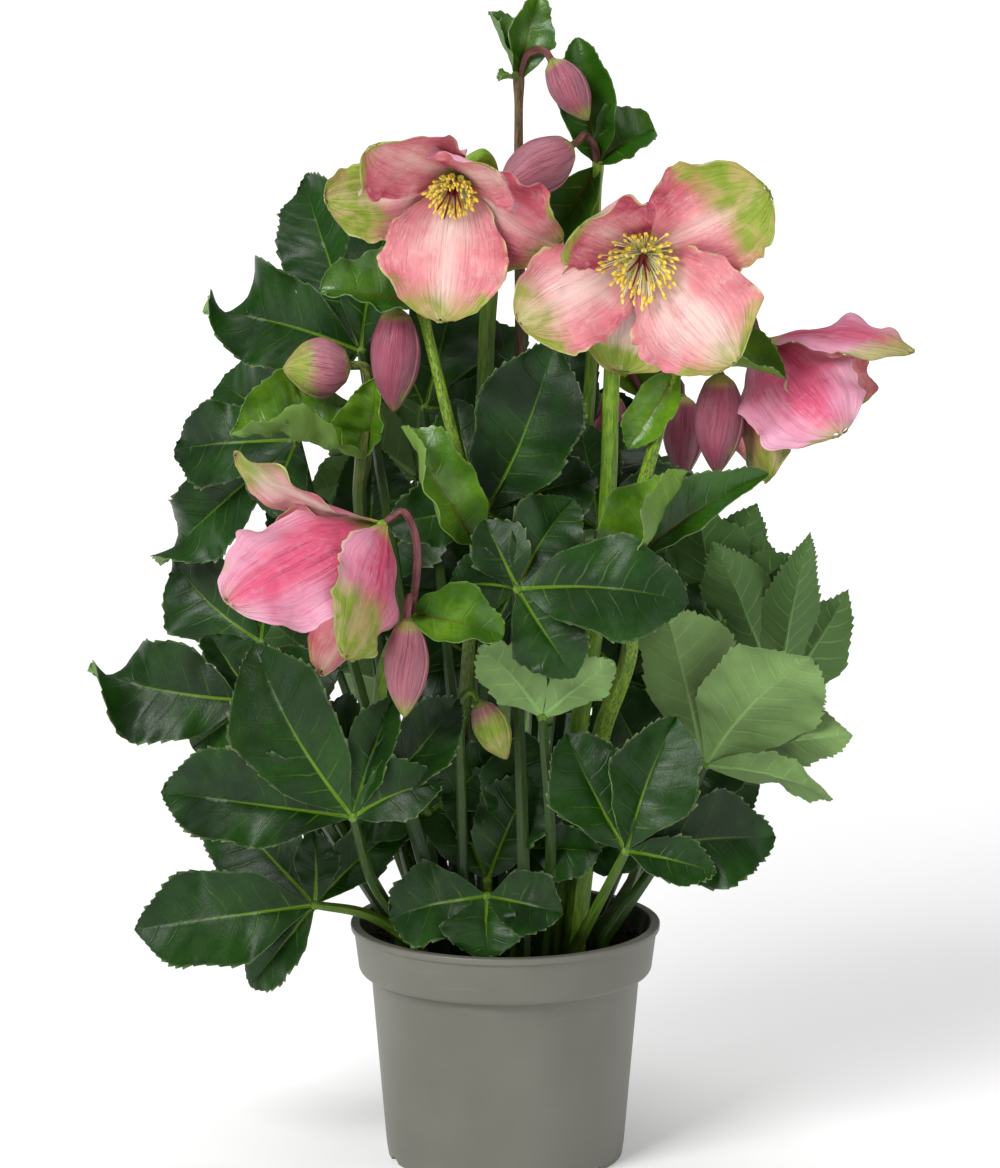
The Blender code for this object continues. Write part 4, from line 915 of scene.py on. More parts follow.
def leaf(name, number, root, via, hub, face, lift, droop, leaflets, high=1, shape=LEAF_SHAPE, tone=None):
    """One leaf: its stalk, its hub and its leaflets. The higher the hub, the more of the stalk stands in
    the dark middle of the plant, and the more painted shade darkens the stalk. Where no tone is given, each
    leaflet draws its own."""
    line = stem_line(root, [*via, hub], RINGS_TO_A_POINT * (2 + len(via)))
    draw = np.random.default_rng((500, number))
    maroon = 0.3 if hub[2] < LOW_HUB else 0.05
    # The stalk's third tone is painted shade, more of it the higher the hub.
    stalk_tone = (maroon, draw.uniform(0.1, 0.5), np.clip((hub[2] - 40) / 150, 0.45, 0.92))
    normal = facing(face)[0]
    patches = [stalk(line, [STALK_ROOT_RADIUS, STALK_HUB_RADIUS], stalk_tone)]
    patches.append(knob(hub, normal, HUB_LENGTH, 0.8 * HUB_RADIUS, surface=1, tone=(0, 0.2, 0.5)))
    order = sorted(range(len(leaflets)), key=lambda k: (leaflets[k][0] + 150) % 360)
    for k, (clock, length, width, *turns) in enumerate(leaflets):
        roll, twist = (*turns, 0, 0)[:2]
        way = clock_way(face, math.radians(clock))
        raised = lift + (STAGGER_DEG if order.index(k) % 2 == high else -STAGGER_DEG)
        spec = leaflet_spec(hub, way, normal, length, width, raised, droop, roll, (number, k))
        spec.update(shape=shape, twist=twist)
        brightness = draw.uniform(0, 0.6)
        patches.append(leaflet(spec, brightness if tone is None else tone, (number, k, 1)))
    return piece(name, patches, [leaf_green, stem_green])


grow("leaves", leaf, LEAVES)

# %% [markdown]
# ## Inner leaves
#
# A grown plant is so full of leaves that no light shows between its stems. The solids keep to the leaves
# that can be told apart in the photograph, because each face counts there. These further leaves fill the
# shade between them. They are grown by the same function from a table of the same kind, and turned their
# own way.

# %% Grow the inner leaves
FIRST_INNER = 30
INNER_LEAVES = rows(
    LEAF_KEYS,
    ("inner_leaf_right_high", (38, 18), [(72, 28, 168)], (98, 30, 238), (176, 8), 2, 10,
     [(10, 66, 34), (345, 60, 32), (36, 54, 28), (318, 50, 28)], dict(shape=(0.95, 1.2), tone=0.0)),
    ("inner_leaf_right_low", (40, 4), [(56, 6, 122)], (69, 8, 166), (6, 14), 4, 16,
     [(88, 52, 30), (56, 50, 30), (14, 56, 32), (334, 56, 32), (290, 42, 26)]),
    ("inner_leaf_right_centre", (24, 14), [(40, 22, 158)], (54, 26, 214), (8, 12), 4, 16,
     [(350, 66, 36), (26, 64, 34), (64, 48, 28), (312, 50, 30), (112, 36, 24), (262, 38, 24)]),
    ("inner_leaf_centre", (-4, 26), [(-8, 30, 158)], (-12, 32, 222), (-4, 12), 4, 16,
     [(344, 64, 36), (26, 64, 34), (72, 48, 28), (302, 54, 32), (258, 40, 26), (110, 36, 24)]),
    ("inner_leaf_left", (-26, 16), [(-38, 18, 108)], (-54, 16, 148), (-10, 14), 4, 16,
     [(348, 52, 32), (38, 46, 28), (298, 48, 30), (252, 44, 28), (96, 38, 24)]),
    ("inner_leaf_low_right", (22, -14), [], (28, -12, 140), (4, 20), 4, 16,
     [(340, 46, 30), (26, 46, 30), (72, 38, 26), (288, 38, 26)]),
    ("inner_leaf_low_centre", (-16, 22), [], (-18, 24, 148), (0, 14), 4, 16,
     [(0, 56, 34), (50, 50, 30), (310, 50, 30), (96, 38, 26), (264, 38, 26)]),
    ("inner_leaf_left_mid", (-30, 8), [(-50, 28, 168)], (-64, 30, 260), (-8, 14), 4, 16,
     [(0, 62, 34), (310, 58, 32), (50, 54, 30), (264, 42, 28), (98, 38, 24)]),
    ("inner_leaf_right_top", (10, 40), [(14, 44, 200)], (22, 44, 312), (4, 12), 4, 14,
     [(8, 56, 32), (54, 48, 28), (320, 48, 30), (102, 38, 24)]),
    ("inner_leaf_front", (2, -18), [], (9, -26, 148), (0, 10), 2, 12,
     [(0, 52, 32), (48, 48, 30), (312, 48, 30), (92, 34, 24)]),
    ("inner_leaf_front_left", (-30, -16), [], (-34, -17, 162), (-6, 10), 2, 12,
     [(0, 50, 30), (46, 44, 28), (314, 46, 30), (90, 34, 22), (270, 36, 24)]),
)
grow("inner leaves", leaf, INNER_LEAVES, FIRST_INNER)

# %% [markdown]
# ## The flower stems
#
# A flower stem carries leafy bracts at its nodes and thin arched stalks that end in a flower or a bud. The
# stem swells a little where a bract or a stalk leaves it. Everything on one stem grew together, so it is
# one piece with two finishes. The bracts use the leaflet's surface in a brighter green, more cupped and
# more crinkled.

# %% Grow the stems
NODE_SWELLING = 0.9
NODE_SPREAD = 60
STALK_POINTS = 18
THIN_STALK_RADII = (1.84, 1.6)
# How maroon, how speckled and how darkened with painted shade a thin stalk is. Two low at the left are darker
# and more maroon.
THIN_STALK_TONE = (0.7, 0.9, 0.7)
THIN_STALK_TONES = {"bloom_low_left": (0.85, 0.8, 0.9), "bud_low_left": (0.85, 0.8, 0.9)}
BRACT_SHAPE = dict(shape=(0.85, 0.8), foot_half=1.8, cup=38)
BRACT_TOOTH_DEPTH = 0.6
BRACT_QUILTING = 0.3
BRACT_CRUMPLE = 0.4


def held_end(holds):
    """The last two points of a stem that carries a bloom or a bud: a short straight piece along its
    axis."""
    if holds in BLOOMS:
        end, way = BLOOMS[holds]["foot"], facing(BLOOMS[holds]["face"])[0]
    else:
        end, way = BUDS[holds]["top"], unit(BUDS[holds]["toward"])
    return [np.asarray(end) - way * STRAIGHT_END, np.asarray(end, float)]


def flower_stem(name, number, root, route, radii, holds, tones, pedicels, bracts):
    """One flower stem with its thin stalks and bracts. line is the stem's middle at as few points as its
    solid has, so that stalks and bracts leave it at the same places, and fine is the same line at more
    points. The stem swells by exp(-distance**2 / spread) at each joint. Low down painted shade darkens it,
    and further up it is more maroon and more speckled."""
    end = held_end(holds) if holds else []
    counts = (2 + len(route) * 3 // 2, RINGS_TO_A_POINT * len(route))
    line, fine = (np.vstack([stem_line(root, [*route, *end[:1]], count), *end[1:]]) for count in counts)
    joints = [nearest_on(line, at) for at, *_ in [*bracts, *(points for points, _ in pedicels)]]
    radius = np.linspace(*radii, len(fine))
    for joint in joints:
        radius = radius + NODE_SWELLING * np.exp(-(((fine - joint) ** 2).sum(1)) / NODE_SPREAD) / len(joints)
    maroon, speckled, dark, shaded = tones
    rise = np.linspace(0, 1, len(fine))[:, None]
    upward = eased(1.7 * rise)
    # Painted shade: a darkness all along the stem, and more of it towards the soil.
    painted_shade = dark + shaded * (1.25 - 1.25 * rise) ** 2
    tone = np.hstack([maroon * upward, speckled * (0.25 + 0.75 * upward), painted_shade])
    patches = [stalk(fine, radius, tone, 14)]
    for (start, *points), held in pedicels:
        near, end = held_end(held)
        path = smooth_route([nearest_on(line, start), *points, near], STALK_POINTS)
        tone = THIN_STALK_TONES.get(held, THIN_STALK_TONE)
        patches.append(stalk(np.vstack([path, end]), THIN_STALK_RADII, tone))
    for k, (_, toward, up, size, bend, roll, *own) in enumerate(bracts):
        way = unit(toward)
        normal = unit(np.asarray(up) - way * np.dot(up, way))
        spec = leaflet_spec(joints[k], way, normal, *size, *bend, roll, (100 + number, k))
        spec.update(BRACT_SHAPE, fold=spec["fold"] + 6, wave=1.2 * spec["wave"])
        spec.update(dict(tone=0.3 + 0.2 * (k % 2), crumple=BRACT_CRUMPLE), **dict(*own))
        seed = (100 + number, k, 1)
        patches.append(leaflet(spec, spec["tone"], seed, BRACT_TOOTH_DEPTH, BRACT_QUILTING, spec["crumple"]))
    return piece(name, patches, [bract_green, stem_green])


grow("stems", flower_stem, STEMS)

# %% [markdown]
# ## Petal colours
#
# What looks like petals are five sepals, soft and a little leathery. The inner side is cream along the
# middle with rose streaks that run up from the foot, deeper pink towards the margins, a yellow-green tip
# and a pale green hem. The outer side is a duskier rose with darker veins. Every sepal of a bloom differs,
# so each has three numbers of its own: how green its tip is, how rosy it is, and a number that shifts its
# pattern.

# %% Sepal and bud materials
def petal_material(name, pale, pink, deep, heart, rim, dark, tips, hem, roughness, **finish):
    """Streaked sepal tissue. sepal_map holds across, share and side; sepal_tone holds green, rose and
    shift."""
    recipe = Recipe(name, **finish)
    place = recipe.place()
    own = recipe.map("sepal_map")
    across, share, side = own.parts()
    green, rose, shift = recipe.map("sepal_tone").parts()
    shifted = recipe.node("ShaderNodeCombineXYZ", {2: shift * 31.0})
    fan = own.stretch((8.0, 1.3, 4.0)).moved(shifted)
    hair = own.stretch((30.0, 2.6, 4.0)).moved(shifted)
    out = abs(across)
    streak = fan.noise(1.0, 4, 0.6)
    vein = hair.noise(1.0, 3, 0.6).band(0.55, 0.64)
    grain = hair.stretch((2.0, 7.0, 1.0)).noise(1.0, 2, 0.8)
    cloud = place.noise(46, 3, 0.4)
    blotch = place.noise(85, 3, 0.8)
    mottle = place.noise(150, 3, 1.2)
    ripple = streak * 0.5 - 0.25
    puff = cloud * 1.7 - 0.85
    lean = rose * 0.55 + out * 0.85 + ripple + puff
    inner = lean.band(0.0, 0.85).mix(pale, pink)
    inner = lean.band(0.75, 1.55).mix(inner, deep)
    inner = (vein * blotch.band(0.42, 0.62, 0.22)).mix(inner, deep)
    throat = out.band(0.30, 0.0) * share.band(0.95, 0.2, 0.5)
    inner = throat.mix(inner, tint(pale, 1.08))
    paling = share * 0.45 + out * 0.75 + ripple + puff * 0.6
    outer = paling.band(0.25, 1.05).mix(heart, rim)
    middle = out.band(0.9, 0.2) * share.band(0.9, 0.3)
    lines = vein.sum("MAXIMUM", streak.band(0.55, 0.63)) * (middle * 0.55 + 0.08)
    outer = rose.band(0.5, 0.0, 0.55).mix(outer, pink)
    outer = lines.mix(outer, dark)
    colour = side.band(0.35, 0.65).mix(inner, outer)
    # Pale specks are small painted highlights.
    painted_highlight_specks = (grain * 0.4 + mottle * 0.6).band(0.50, 0.64, 0.30)
    colour = painted_highlight_specks.mix(colour, side.mix(pale, rim))
    dark_specks = (grain * 0.35 + cloud * 0.65).band(0.46, 0.34, 0.22)
    colour = dark_specks.mix(colour, dark)
    ahead = puff * 0.22 + ripple * 0.24 + share + out.band(0.6, 1.0) * cloud.band(0.46, 0.62, 0.22)
    tip = (ahead + green * 0.26 - 1.0).band(-0.07, 0.20) * green.band(0.0, 0.4)
    tip = tip * (blotch.band(0.38, 0.6) * 0.26 + 0.72)
    leafy = (streak * 0.3 + blotch * 0.7).band(0.34, 0.64)
    colour = tip.mix(colour, leafy.mix(*tips))
    edge = out.band(0.93, 1.0) * blotch.band(0.46, 0.60) * green.band(0.0, 0.9, 0.8)
    colour = edge.mix(colour, hem)
    colour = (share.band(0.16, 0.03) * 0.8).mix(colour, tips[0])
    relief = vein * -0.3 + mottle * 0.8 + streak
    return recipe.finish(colour, cloud * 0.25 + (roughness - 0.12), relief, 0.0005)


TIP_COLOURS = ((0.34, 0.38, 0.065), (0.195, 0.285, 0.018))
petal_pink = petal_material(
    "sepal_pink_streaked", pale=(0.75, 0.52, 0.47), pink=(0.62, 0.20, 0.225), deep=(0.45, 0.045, 0.095),
    heart=(0.64, 0.085, 0.175), rim=(0.70, 0.33, 0.45), dark=(0.34, 0.040, 0.100), tips=TIP_COLOURS,
    hem=(0.58, 0.54, 0.26), roughness=0.50, Specular_IOR_Level=0.30,
)
bud_rose = petal_material(
    "bud_rose_veined", pale=(0.50, 0.20, 0.24), pink=(0.58, 0.25, 0.29), deep=(0.25, 0.045, 0.08),
    heart=(0.29, 0.058, 0.095), rim=(0.27, 0.095, 0.130), dark=(0.13, 0.024, 0.044), tips=TIP_COLOURS,
    hem=(0.50, 0.24, 0.26), roughness=0.46, Specular_IOR_Level=0.35,
)
print("petal materials:", petal_pink.name, bud_rose.name)

# %% [markdown]
# ## The blooms
#
# A bloom is a small green receptacle with five broad sepals that overlap round it and open into a shallow
# bowl. Each sepal has soft pleats along its length, a ruffled margin and a large, lazy crumple. The rows of
# the grid lie closer together towards the tip, where the margin turns quickly.

# %% Where a sepal stands
SEPAL_THICKNESS = 0.5
SEPAL_ROWS = 54
SEPAL_COLUMNS = 37
SEPAL_LAYER = 1.8
SEPAL_LAYER_STEP = 1.6
SEPAL_BILLOW = 16
SEPAL_CRINKLE = 5.5
CUP_RISES = (-0.8, 1.2, 3, 4.5, 6)
CUP_RADII = (1.7, 2.8, 3.6, 4.2, 4.4)


def sepal_spec(seed, foot, face, clock, length, width, opening, ending, cup, in_front, roll=0):
    """A sepal as a blade that starts at the receptacle's side. The further in front it lies, the higher it
    starts and the further it is turned inwards."""
    draw = np.random.default_rng(seed)
    normal = facing(face)[0]
    way = clock_way(face, math.radians(clock))
    return dict(
        foot=foot + normal * (SEPAL_LAYER + SEPAL_LAYER_STEP * in_front) + way * 2.5, way=way, normal=normal,
        length=length, width=1.05 * width, lift=88 - opening + 4 * in_front, droop=ending - opening, fold=0,
        cup=cup, roll=roll, wave=draw.uniform(0.07, 0.12), waves=draw.uniform(1.1, 1.6),
        phase=draw.uniform(0, math.tau), bow=draw.uniform(-0.03, 0.03), uneven=draw.uniform(-0.07, 0.07),
        shape=(0.72, 0.58), foot_half=2.4,
    )


trial = sepal_spec((0, 0), np.zeros(3), (0, 0), 0, 60, 50, 50, 60, 20, 0)
print("a sepal that opens to 50 degrees rises from its bloom's plane by", trial["lift"], "degrees")

# %% Grow the blooms
def sepal(spec, tone, seed):
    """One sepal. Its rows lie at 1 - (1 - u)**1.7 for even steps of u. Its margin is notched, and it is
    raised by uneven pleats that run from the foot to the tip, by a ruffle of the margin, by large billows
    and by small crinkles towards the margin. Along its middle it is a little sunk."""
    draw = np.random.default_rng(seed)
    *_, ruffle_phase, row_phase = draw.uniform(0, math.tau, 5)
    steps = 1 - (1 - 0.99 * np.linspace(0, 1, SEPAL_ROWS)) ** 1.7
    share, across = np.meshgrid(steps, np.linspace(-1, 1, SEPAL_COLUMNS), indexing="ij")
    out = np.abs(across)
    ruffle = 3.1 * (math.tau * share + 0.8 * (across > 0)) + ruffle_phase + 1.1 * (across > 0)
    edge_way = 30 * (across > 0) + 8 * share
    notches = 0.10 * soft_heights(edge_way, 0 * share, 1, (*seed, 4))
    notches = notches + 0.045 * soft_heights(2.6 * edge_way, 0 * share, 1, (*seed, 5))
    middle = blade(spec, share * (1 + 0.02 * np.sin(7 * across + row_phase)), across * (1 + notches * out**4))
    half = half_width(spec, share)
    east, north = across * half, share * spec["length"]
    height = 0.32 * soft_heights(7 * across, 1.8 * share, 1, (*seed, 1)) * np.sin(np.pi * share) ** 0.5
    height = height + 0.085 * half * out**3 * np.sin(ruffle)
    height = height + (0.1 + 1.7 * share) * soft_heights(east, north, SEPAL_BILLOW, (*seed, 2))
    crinkles = soft_heights(east, north, SEPAL_CRINKLE, (*seed, 3))
    height = height + 0.45 * crinkles * np.clip(1.5 * share, 0, 1)
    height = height - 0.5 * np.exp(-((across / 0.07) ** 2)) * (1 - share)
    middle = middle + normals_of(middle) * height[..., None]
    own_tone = np.broadcast_to([*tone, draw.uniform(0, 1)], (*share.shape, 3))
    return sheet(middle, SEPAL_THICKNESS, sepal_map=np.stack([across, share], -1), sepal_tone=own_tone)


def bloom(name, number, foot, face, sepals, **_):
    """The receptacle, a cup that starts inside the stem's end, and the five sepals of one bloom. A sepal's
    seventh and eighth numbers are its tone, the others its form."""
    foot = np.asarray(foot, float)
    line = [foot + facing(face)[0] * rise for rise in CUP_RISES]
    patches = [tube(line, CUP_RADII, 18, surface=1, tone=(0.15, 0.2, 0))]
    for k, measures in enumerate(sepals):
        spec = sepal_spec((200 + number, k), foot, face, *measures[:6], *measures[8:])
        patches.append(sepal(spec, measures[6:8], (600 + number, k)))
    return piece(name, patches, [petal_pink, stem_green], 60)


grow("blooms", bloom, BLOOMS)

# %% [markdown]
# ## Stamens and pistils
#
# Inside the sepals stands a ring of short green nectaries, then a crowd of stamens, each a cream filament
# with a yellow anther, and in the middle a few dark red styles. They are real rods rather than a painted
# disc, because light falls between them. A bloom that is seen from outside gets fewer.

# %% Stamen and pistil materials
def stamen_material():
    """stem_tone holds the kind of part (0 filament, 0.5 nectary, 1 anther) and a chance number."""
    recipe = Recipe("stamen_cream_and_yellow", Specular_IOR_Level=0.3)
    kind, chance, _ = recipe.map("stem_tone").parts()
    cloud = recipe.place().noise(900, 2)
    cream = chance.mix((0.72, 0.66, 0.32), (0.86, 0.82, 0.56))
    nectar = cloud.mix((0.42, 0.46, 0.045), (0.66, 0.64, 0.10))
    pollen = (chance * 0.5 + cloud * 0.5).mix((0.78, 0.50, 0.035), (0.86, 0.76, 0.16))
    colour = kind.band(0.2, 0.3).mix(cream, nectar)
    colour = kind.band(0.7, 0.8).mix(colour, pollen)
    return recipe.finish(colour, cloud * 0.3 + 0.45, cloud, 0.0001)


def pistil_material():
    """Dark red tissue, brighter in streaks along the style."""
    recipe = Recipe("pistil_dark_red", Specular_IOR_Level=0.4)
    streaks = recipe.map("stem_map").stretch((2.0, 2.0, 0.3)).noise(1.0, 3)
    colour = streaks.band(0.35, 0.65).mix((0.10, 0.007, 0.012), (0.28, 0.024, 0.035))
    return recipe.finish(colour, streaks * 0.3 + 0.35, streaks, 0.0002)


stamen_yellow = stamen_material()
pistil_red = pistil_material()
print("materials of the bloom's middle:", stamen_yellow.name, pistil_red.name)

# %% Sizes of stamens and pistils
SEAT_RISE = 6 + GAP
SEAT_LENGTH = 2.4
NECTARIES = 12
NECTARY_LENGTH = 6.5
NECTARY_RADII = (0.5, 1.3, 1.5)
STAMENS_TO_A_NEEDLE = 7
GOLDEN_SHARE = 0.381966
FILAMENT_RADII = (0.299, 0.26)
FILAMENT_LENGTHS = {"bloom_left_stamens": (7, 10.5), "bloom_right_stamens": (10, 16)}
HIDDEN_FILAMENT_LENGTHS = (8, 12)
ANTHER_LENGTH = 3.0
ANTHER_RADIUS = 0.85
OVARY_RISE = 8.2 + 2 * GAP
STYLE_RADII = (1.15, 1.05, 0.62, 0.46, 0.42, 0.52, 0.30)
SHOWN_STAMENS = 10


def bent_line(start, way, lean_to, length, points=7):
    """A line that starts along way and bends evenly towards lean_to."""
    share = np.linspace(0, 1, points)[:, None]
    return start + length * share * unit(way) + 0.5 * length * share**2 * np.asarray(lean_to)


print("a bent line of 10 mm ends at", bent_line(np.zeros(3), (0, 0, 1), (0.2, 0, 0), 10)[-1].round(1))

# %% Grow stamens and pistils
def stamens(name, number, foot, face, count, inner, outer):
    """A seat, a ring of nectaries and a crowd of stamens that lean out by inner to outer degrees and sag.
    Each next stamen stands a golden turn further round."""
    normal = facing(face)[0]
    shortest, longest = FILAMENT_LENGTHS.get(name, HIDDEN_FILAMENT_LENGTHS)
    seat = np.asarray(foot, float) + normal * SEAT_RISE
    radius = 2.4 + outer / 24
    patches = [knob(seat + normal * 1.1, normal, SEAT_LENGTH, radius, 18, tone=(0.5, 0.5, 0))]
    draw = np.random.default_rng((300, number))
    for k in range(NECTARIES):
        way = clock_way(face, math.tau * k / NECTARIES)
        start = seat + normal * 0.6 + way * (radius - 0.7)
        line = bent_line(start, normal + way * 0.9, normal * 0.3, NECTARY_LENGTH, 5)
        patches.append(tube(line, NECTARY_RADII, 7, tone=(0.5, draw.uniform(), 0)))
    for k in range(STAMENS_TO_A_NEEDLE * count):
        ring = math.sqrt(draw.uniform(0.05, 1.0))
        way = clock_way(face, math.tau * (k * GOLDEN_SHARE))
        lean = math.radians(inner + (outer - inner) * ring + draw.uniform(-6, 6))
        start = seat + normal * 1.4 + way * ring * (radius - 0.6)
        heading = normal * math.cos(lean) + way * math.sin(lean)
        length = draw.uniform(shortest, longest) * (0.75 + 0.25 * ring)
        sag = np.array([0, 0, -draw.uniform(0.05, 0.45)])
        line = bent_line(start, heading, way * draw.uniform(-0.2, 0.30) + sag, length)
        chance = draw.uniform()
        patches.append(tube(line, FILAMENT_RADII, 5, tone=(0, chance, 0)))
        end_way = unit(line[-1] - line[-2]) + draw.normal(0, 0.22, 3)
        patches.append(knob(line[-1] + unit(end_way) * 0.7, end_way, ANTHER_LENGTH, ANTHER_RADIUS, 7, 6,
                            flat=0.7, tone=(1, chance, 0)))
    return piece(name, patches, [stamen_yellow], 60)


def pistils(name, number, foot, face, count):
    """The styles: each swells into its ovary at the foot, thins out and bends away from the middle."""
    normal = facing(face)[0]
    seat = np.asarray(foot, float) + normal * OVARY_RISE
    patches = [knob(seat + normal * 1.2, normal, 3.4, 1.9, 12)]
    draw = np.random.default_rng((400, number))
    for k in range(count):
        way = clock_way(face, math.tau * k / count)
        line = bent_line(seat + normal * 0.8 + way * 0.9, normal + way * draw.uniform(0.08, 0.20),
                         way * 0.22 + (0, 0, -0.25), draw.uniform(14, 18), 10)
        patches.append(tube(line, STYLE_RADII, 8))
    return piece(name, patches, [pistil_red], 60)


sizes = []
for number, (name, entry) in enumerate(BLOOMS.items()):
    place = (entry["foot"], entry["face"])
    sizes.append(triangles(stamens(name + "_stamens", number, *place, *entry["stamens"])))
    styles = 5 if entry["stamens"][0] > SHOWN_STAMENS else 3
    sizes.append(triangles(pistils(name + "_pistils", number, *place, styles)))
print("stamens and pistils:", len(sizes), "triangles:", sum(sizes))

# %% [markdown]
# ## The buds
#
# A closed bud is a drop of overlapping sepals, each lying with one margin over the next. One formula gives
# the whole drop: its radius follows a smooth outline, and going round it rises three times like a ramp and
# falls back at each margin, while the margins wind slowly round the bud. The columns of the grid follow the
# margins, so the steps stay crisp.

# %% Grow the buds
BUD_OUTLINE = [
    (0, 0.17), (0.05, 0.46), (0.12, 0.68), (0.38, 1.0), (0.66, 0.88), (0.88, 0.42), (0.97, 0.16), (1, 0.03),
]
BUD_RINGS = 44
BUD_SEPALS = 3
OVERLAP = 0.11
MARGIN_TURNS = 0.8 / 9
SHIFT_STEP = 0.13


def bud(name, number, top, toward, size, colours):
    """One bud: a ring of three ramps at each share of its length, with a step down at the end of each
    ramp."""
    length, width = size
    way = unit(toward)
    side = unit(np.cross(way, (0.31, 0.95, 0.05)))
    other = np.cross(way, side)
    start = np.asarray(top, float) + way * GAP
    outline = smooth_route([(share, radius, 0) for share, radius in BUD_OUTLINE], BUD_RINGS)
    ramp = np.append(np.linspace(0, 0.955, 15), 0.985)
    raised = np.tile(np.append(np.linspace(0, 1, 15), 0.55), BUD_SEPALS)
    turns = (np.arange(BUD_SEPALS)[:, None] + ramp).ravel() / BUD_SEPALS
    share = outline[:, :1]
    angle = math.tau * (turns + share * MARGIN_TURNS)
    reach = outline[:, 1:2] * width / 2 * (1 + OVERLAP * raised * eased(share * 5)) / 1.06
    points = (start + share[..., None] * length * way + (reach * np.cos(angle))[..., None] * side
              + (reach * np.sin(angle))[..., None] * other)
    across = np.broadcast_to(np.tile(2 * ramp - 1, BUD_SEPALS), reach.shape)
    own = np.stack([across, np.broadcast_to(share, reach.shape), np.ones(reach.shape)], -1).reshape(-1, 3)
    tone = (*colours, SHIFT_STEP * number)
    drop = patch(points, ring_faces(*reach.shape), sepal_map=own, sepal_tone=tone)
    seat = knob(start + way * 0.9, way, 4.2, 2.3, surface=1, tone=(0.5, 0.3, 0.2))
    return piece(name, [drop, seat], [bud_rose, stem_green], 40)


grow("buds", bud, BUDS)

# %% [markdown]
# ## The pot
#
# A nursery pot is moulded in thin plastic: a tapered wall, a step out to a wide band, a rolled lip, and a
# foot ring with notches that let water out. It is turned from one outline, whose corners are rounded
# because a mould never leaves a sharp one. The notches and drain holes are cut with a Boolean, which is how
# a solid is cut too.

# %% Pot plastic
def pot_material():
    """Grey-taupe plastic with a satin skin, faint clouds, and scuffs and dust that lie flat round it."""
    recipe = Recipe("pot_taupe_satin", Specular_IOR_Level=0.5)
    place = recipe.place()
    cloud = place.noise(14, 3)
    scuff = place.stretch((40, 40, 190)).noise(1.0, 4).band(0.62, 0.78)
    colour = cloud.band(0.3, 0.7).mix((0.125, 0.122, 0.098), (0.160, 0.156, 0.130))
    colour = (scuff * 0.20).mix(colour, (0.25, 0.24, 0.215))
    relief = scuff * 0.6 + place.noise(1500, 2)
    return recipe.finish(colour, cloud * 0.16 + scuff * 0.12 + 0.36, relief, 0.00005)


pot_taupe = pot_material()
print("pot material:", pot_taupe.name)

# %% The pot's radii
POT_SIDES = 144
POT_SHARP_DEG = 35
UNDER_BAND = 2.6
LIP_LEAN = 1.6


def pot_radius(height):
    """Outer radius of the tapered wall under the band: a straight line from the foot to the band."""
    foot = POT_BASE_DIAMETER / 2 + 0.6
    top = POT_RIM_DIAMETER / 2 - LIP_STEP - BAND_STEP - UNDER_BAND
    return foot + (top - foot) * (height - FOOT_HEIGHT) / (POT_HEIGHT - BAND_HEIGHT - FOOT_HEIGHT)


def inner_radius(height):
    """Radius of the pot's inside at a height: the wall's thickness inside the taper, and above the ledge
    inside the band."""
    if height <= LEDGE:
        return pot_radius(height) - WALL
    share = (height - LEDGE) / (POT_HEIGHT - LEDGE)
    return POT_RIM_DIAMETER / 2 - LIP_STEP - BAND_STEP / 2 - WALL + LIP_LEAN * share


print("at the ledge the pot is", round(2 * inner_radius(LEDGE), 1), "mm wide inside")

# %% Turn the pot
def rounded(outline, steps=5):
    """An outline of (radius, height, rounding) points with each corner drawn as a curve that leaves one
    side and meets the other that far from the corner."""
    drawn = [outline[0][:2]]
    for before, (radius, height, rounding), after in zip(outline, outline[1:], outline[2:]):
        corner = np.array([radius, height])
        first = corner + unit(np.array(before[:2]) - corner) * rounding
        last = corner + unit(np.array(after[:2]) - corner) * rounding
        t = np.linspace(0, 1, steps)[:, None]
        drawn.extend(first * (1 - t) ** 2 + corner * 2 * t * (1 - t) + last * t**2)
    return np.array([*drawn, outline[-1][:2]], float)


def turned(outline, sides, heights=0.0, **maps):
    """A patch turned about the pot's axis: each point of the outline becomes a ring, and both ends are
    closed."""
    outline = np.asarray(outline, float)
    turn = math.tau * np.arange(sides) / sides
    radius, height = outline[:, :1], outline[:, 1:] + heights
    points = np.stack([radius * np.cos(turn), radius * np.sin(turn), height + 0 * turn], -1)
    return patch(points, [block[:, ::-1] for block in ring_faces(len(outline), sides)], **maps)


def cutters(foot_out):
    """The rods that cut the foot's notches and the drain holes: each notch lies across the foot's ring, and
    each hole a little further round."""
    rods = []
    for k in range(FOOT_NOTCHES):
        turn = math.radians(FIRST_NOTCH_DEG) + math.tau * k / FOOT_NOTCHES
        out = np.array([math.sin(turn), -math.cos(turn), 0])
        low = np.array([0, 0, NOTCH_HEIGHT - NOTCH_WIDTH / 2])
        rods.append(tube([out * (foot_out - 8) + low, out * (foot_out + 8) + low], [NOTCH_WIDTH / 2] * 2, 32))
        drain = np.array([math.sin(turn + 0.5), -math.cos(turn + 0.5), 0]) * DRAIN_CIRCLE
        rods.append(tube([drain, drain + (0, 0, FLOOR_TOP + 4)], [DRAIN_RADIUS] * 2, 24))
    return rods


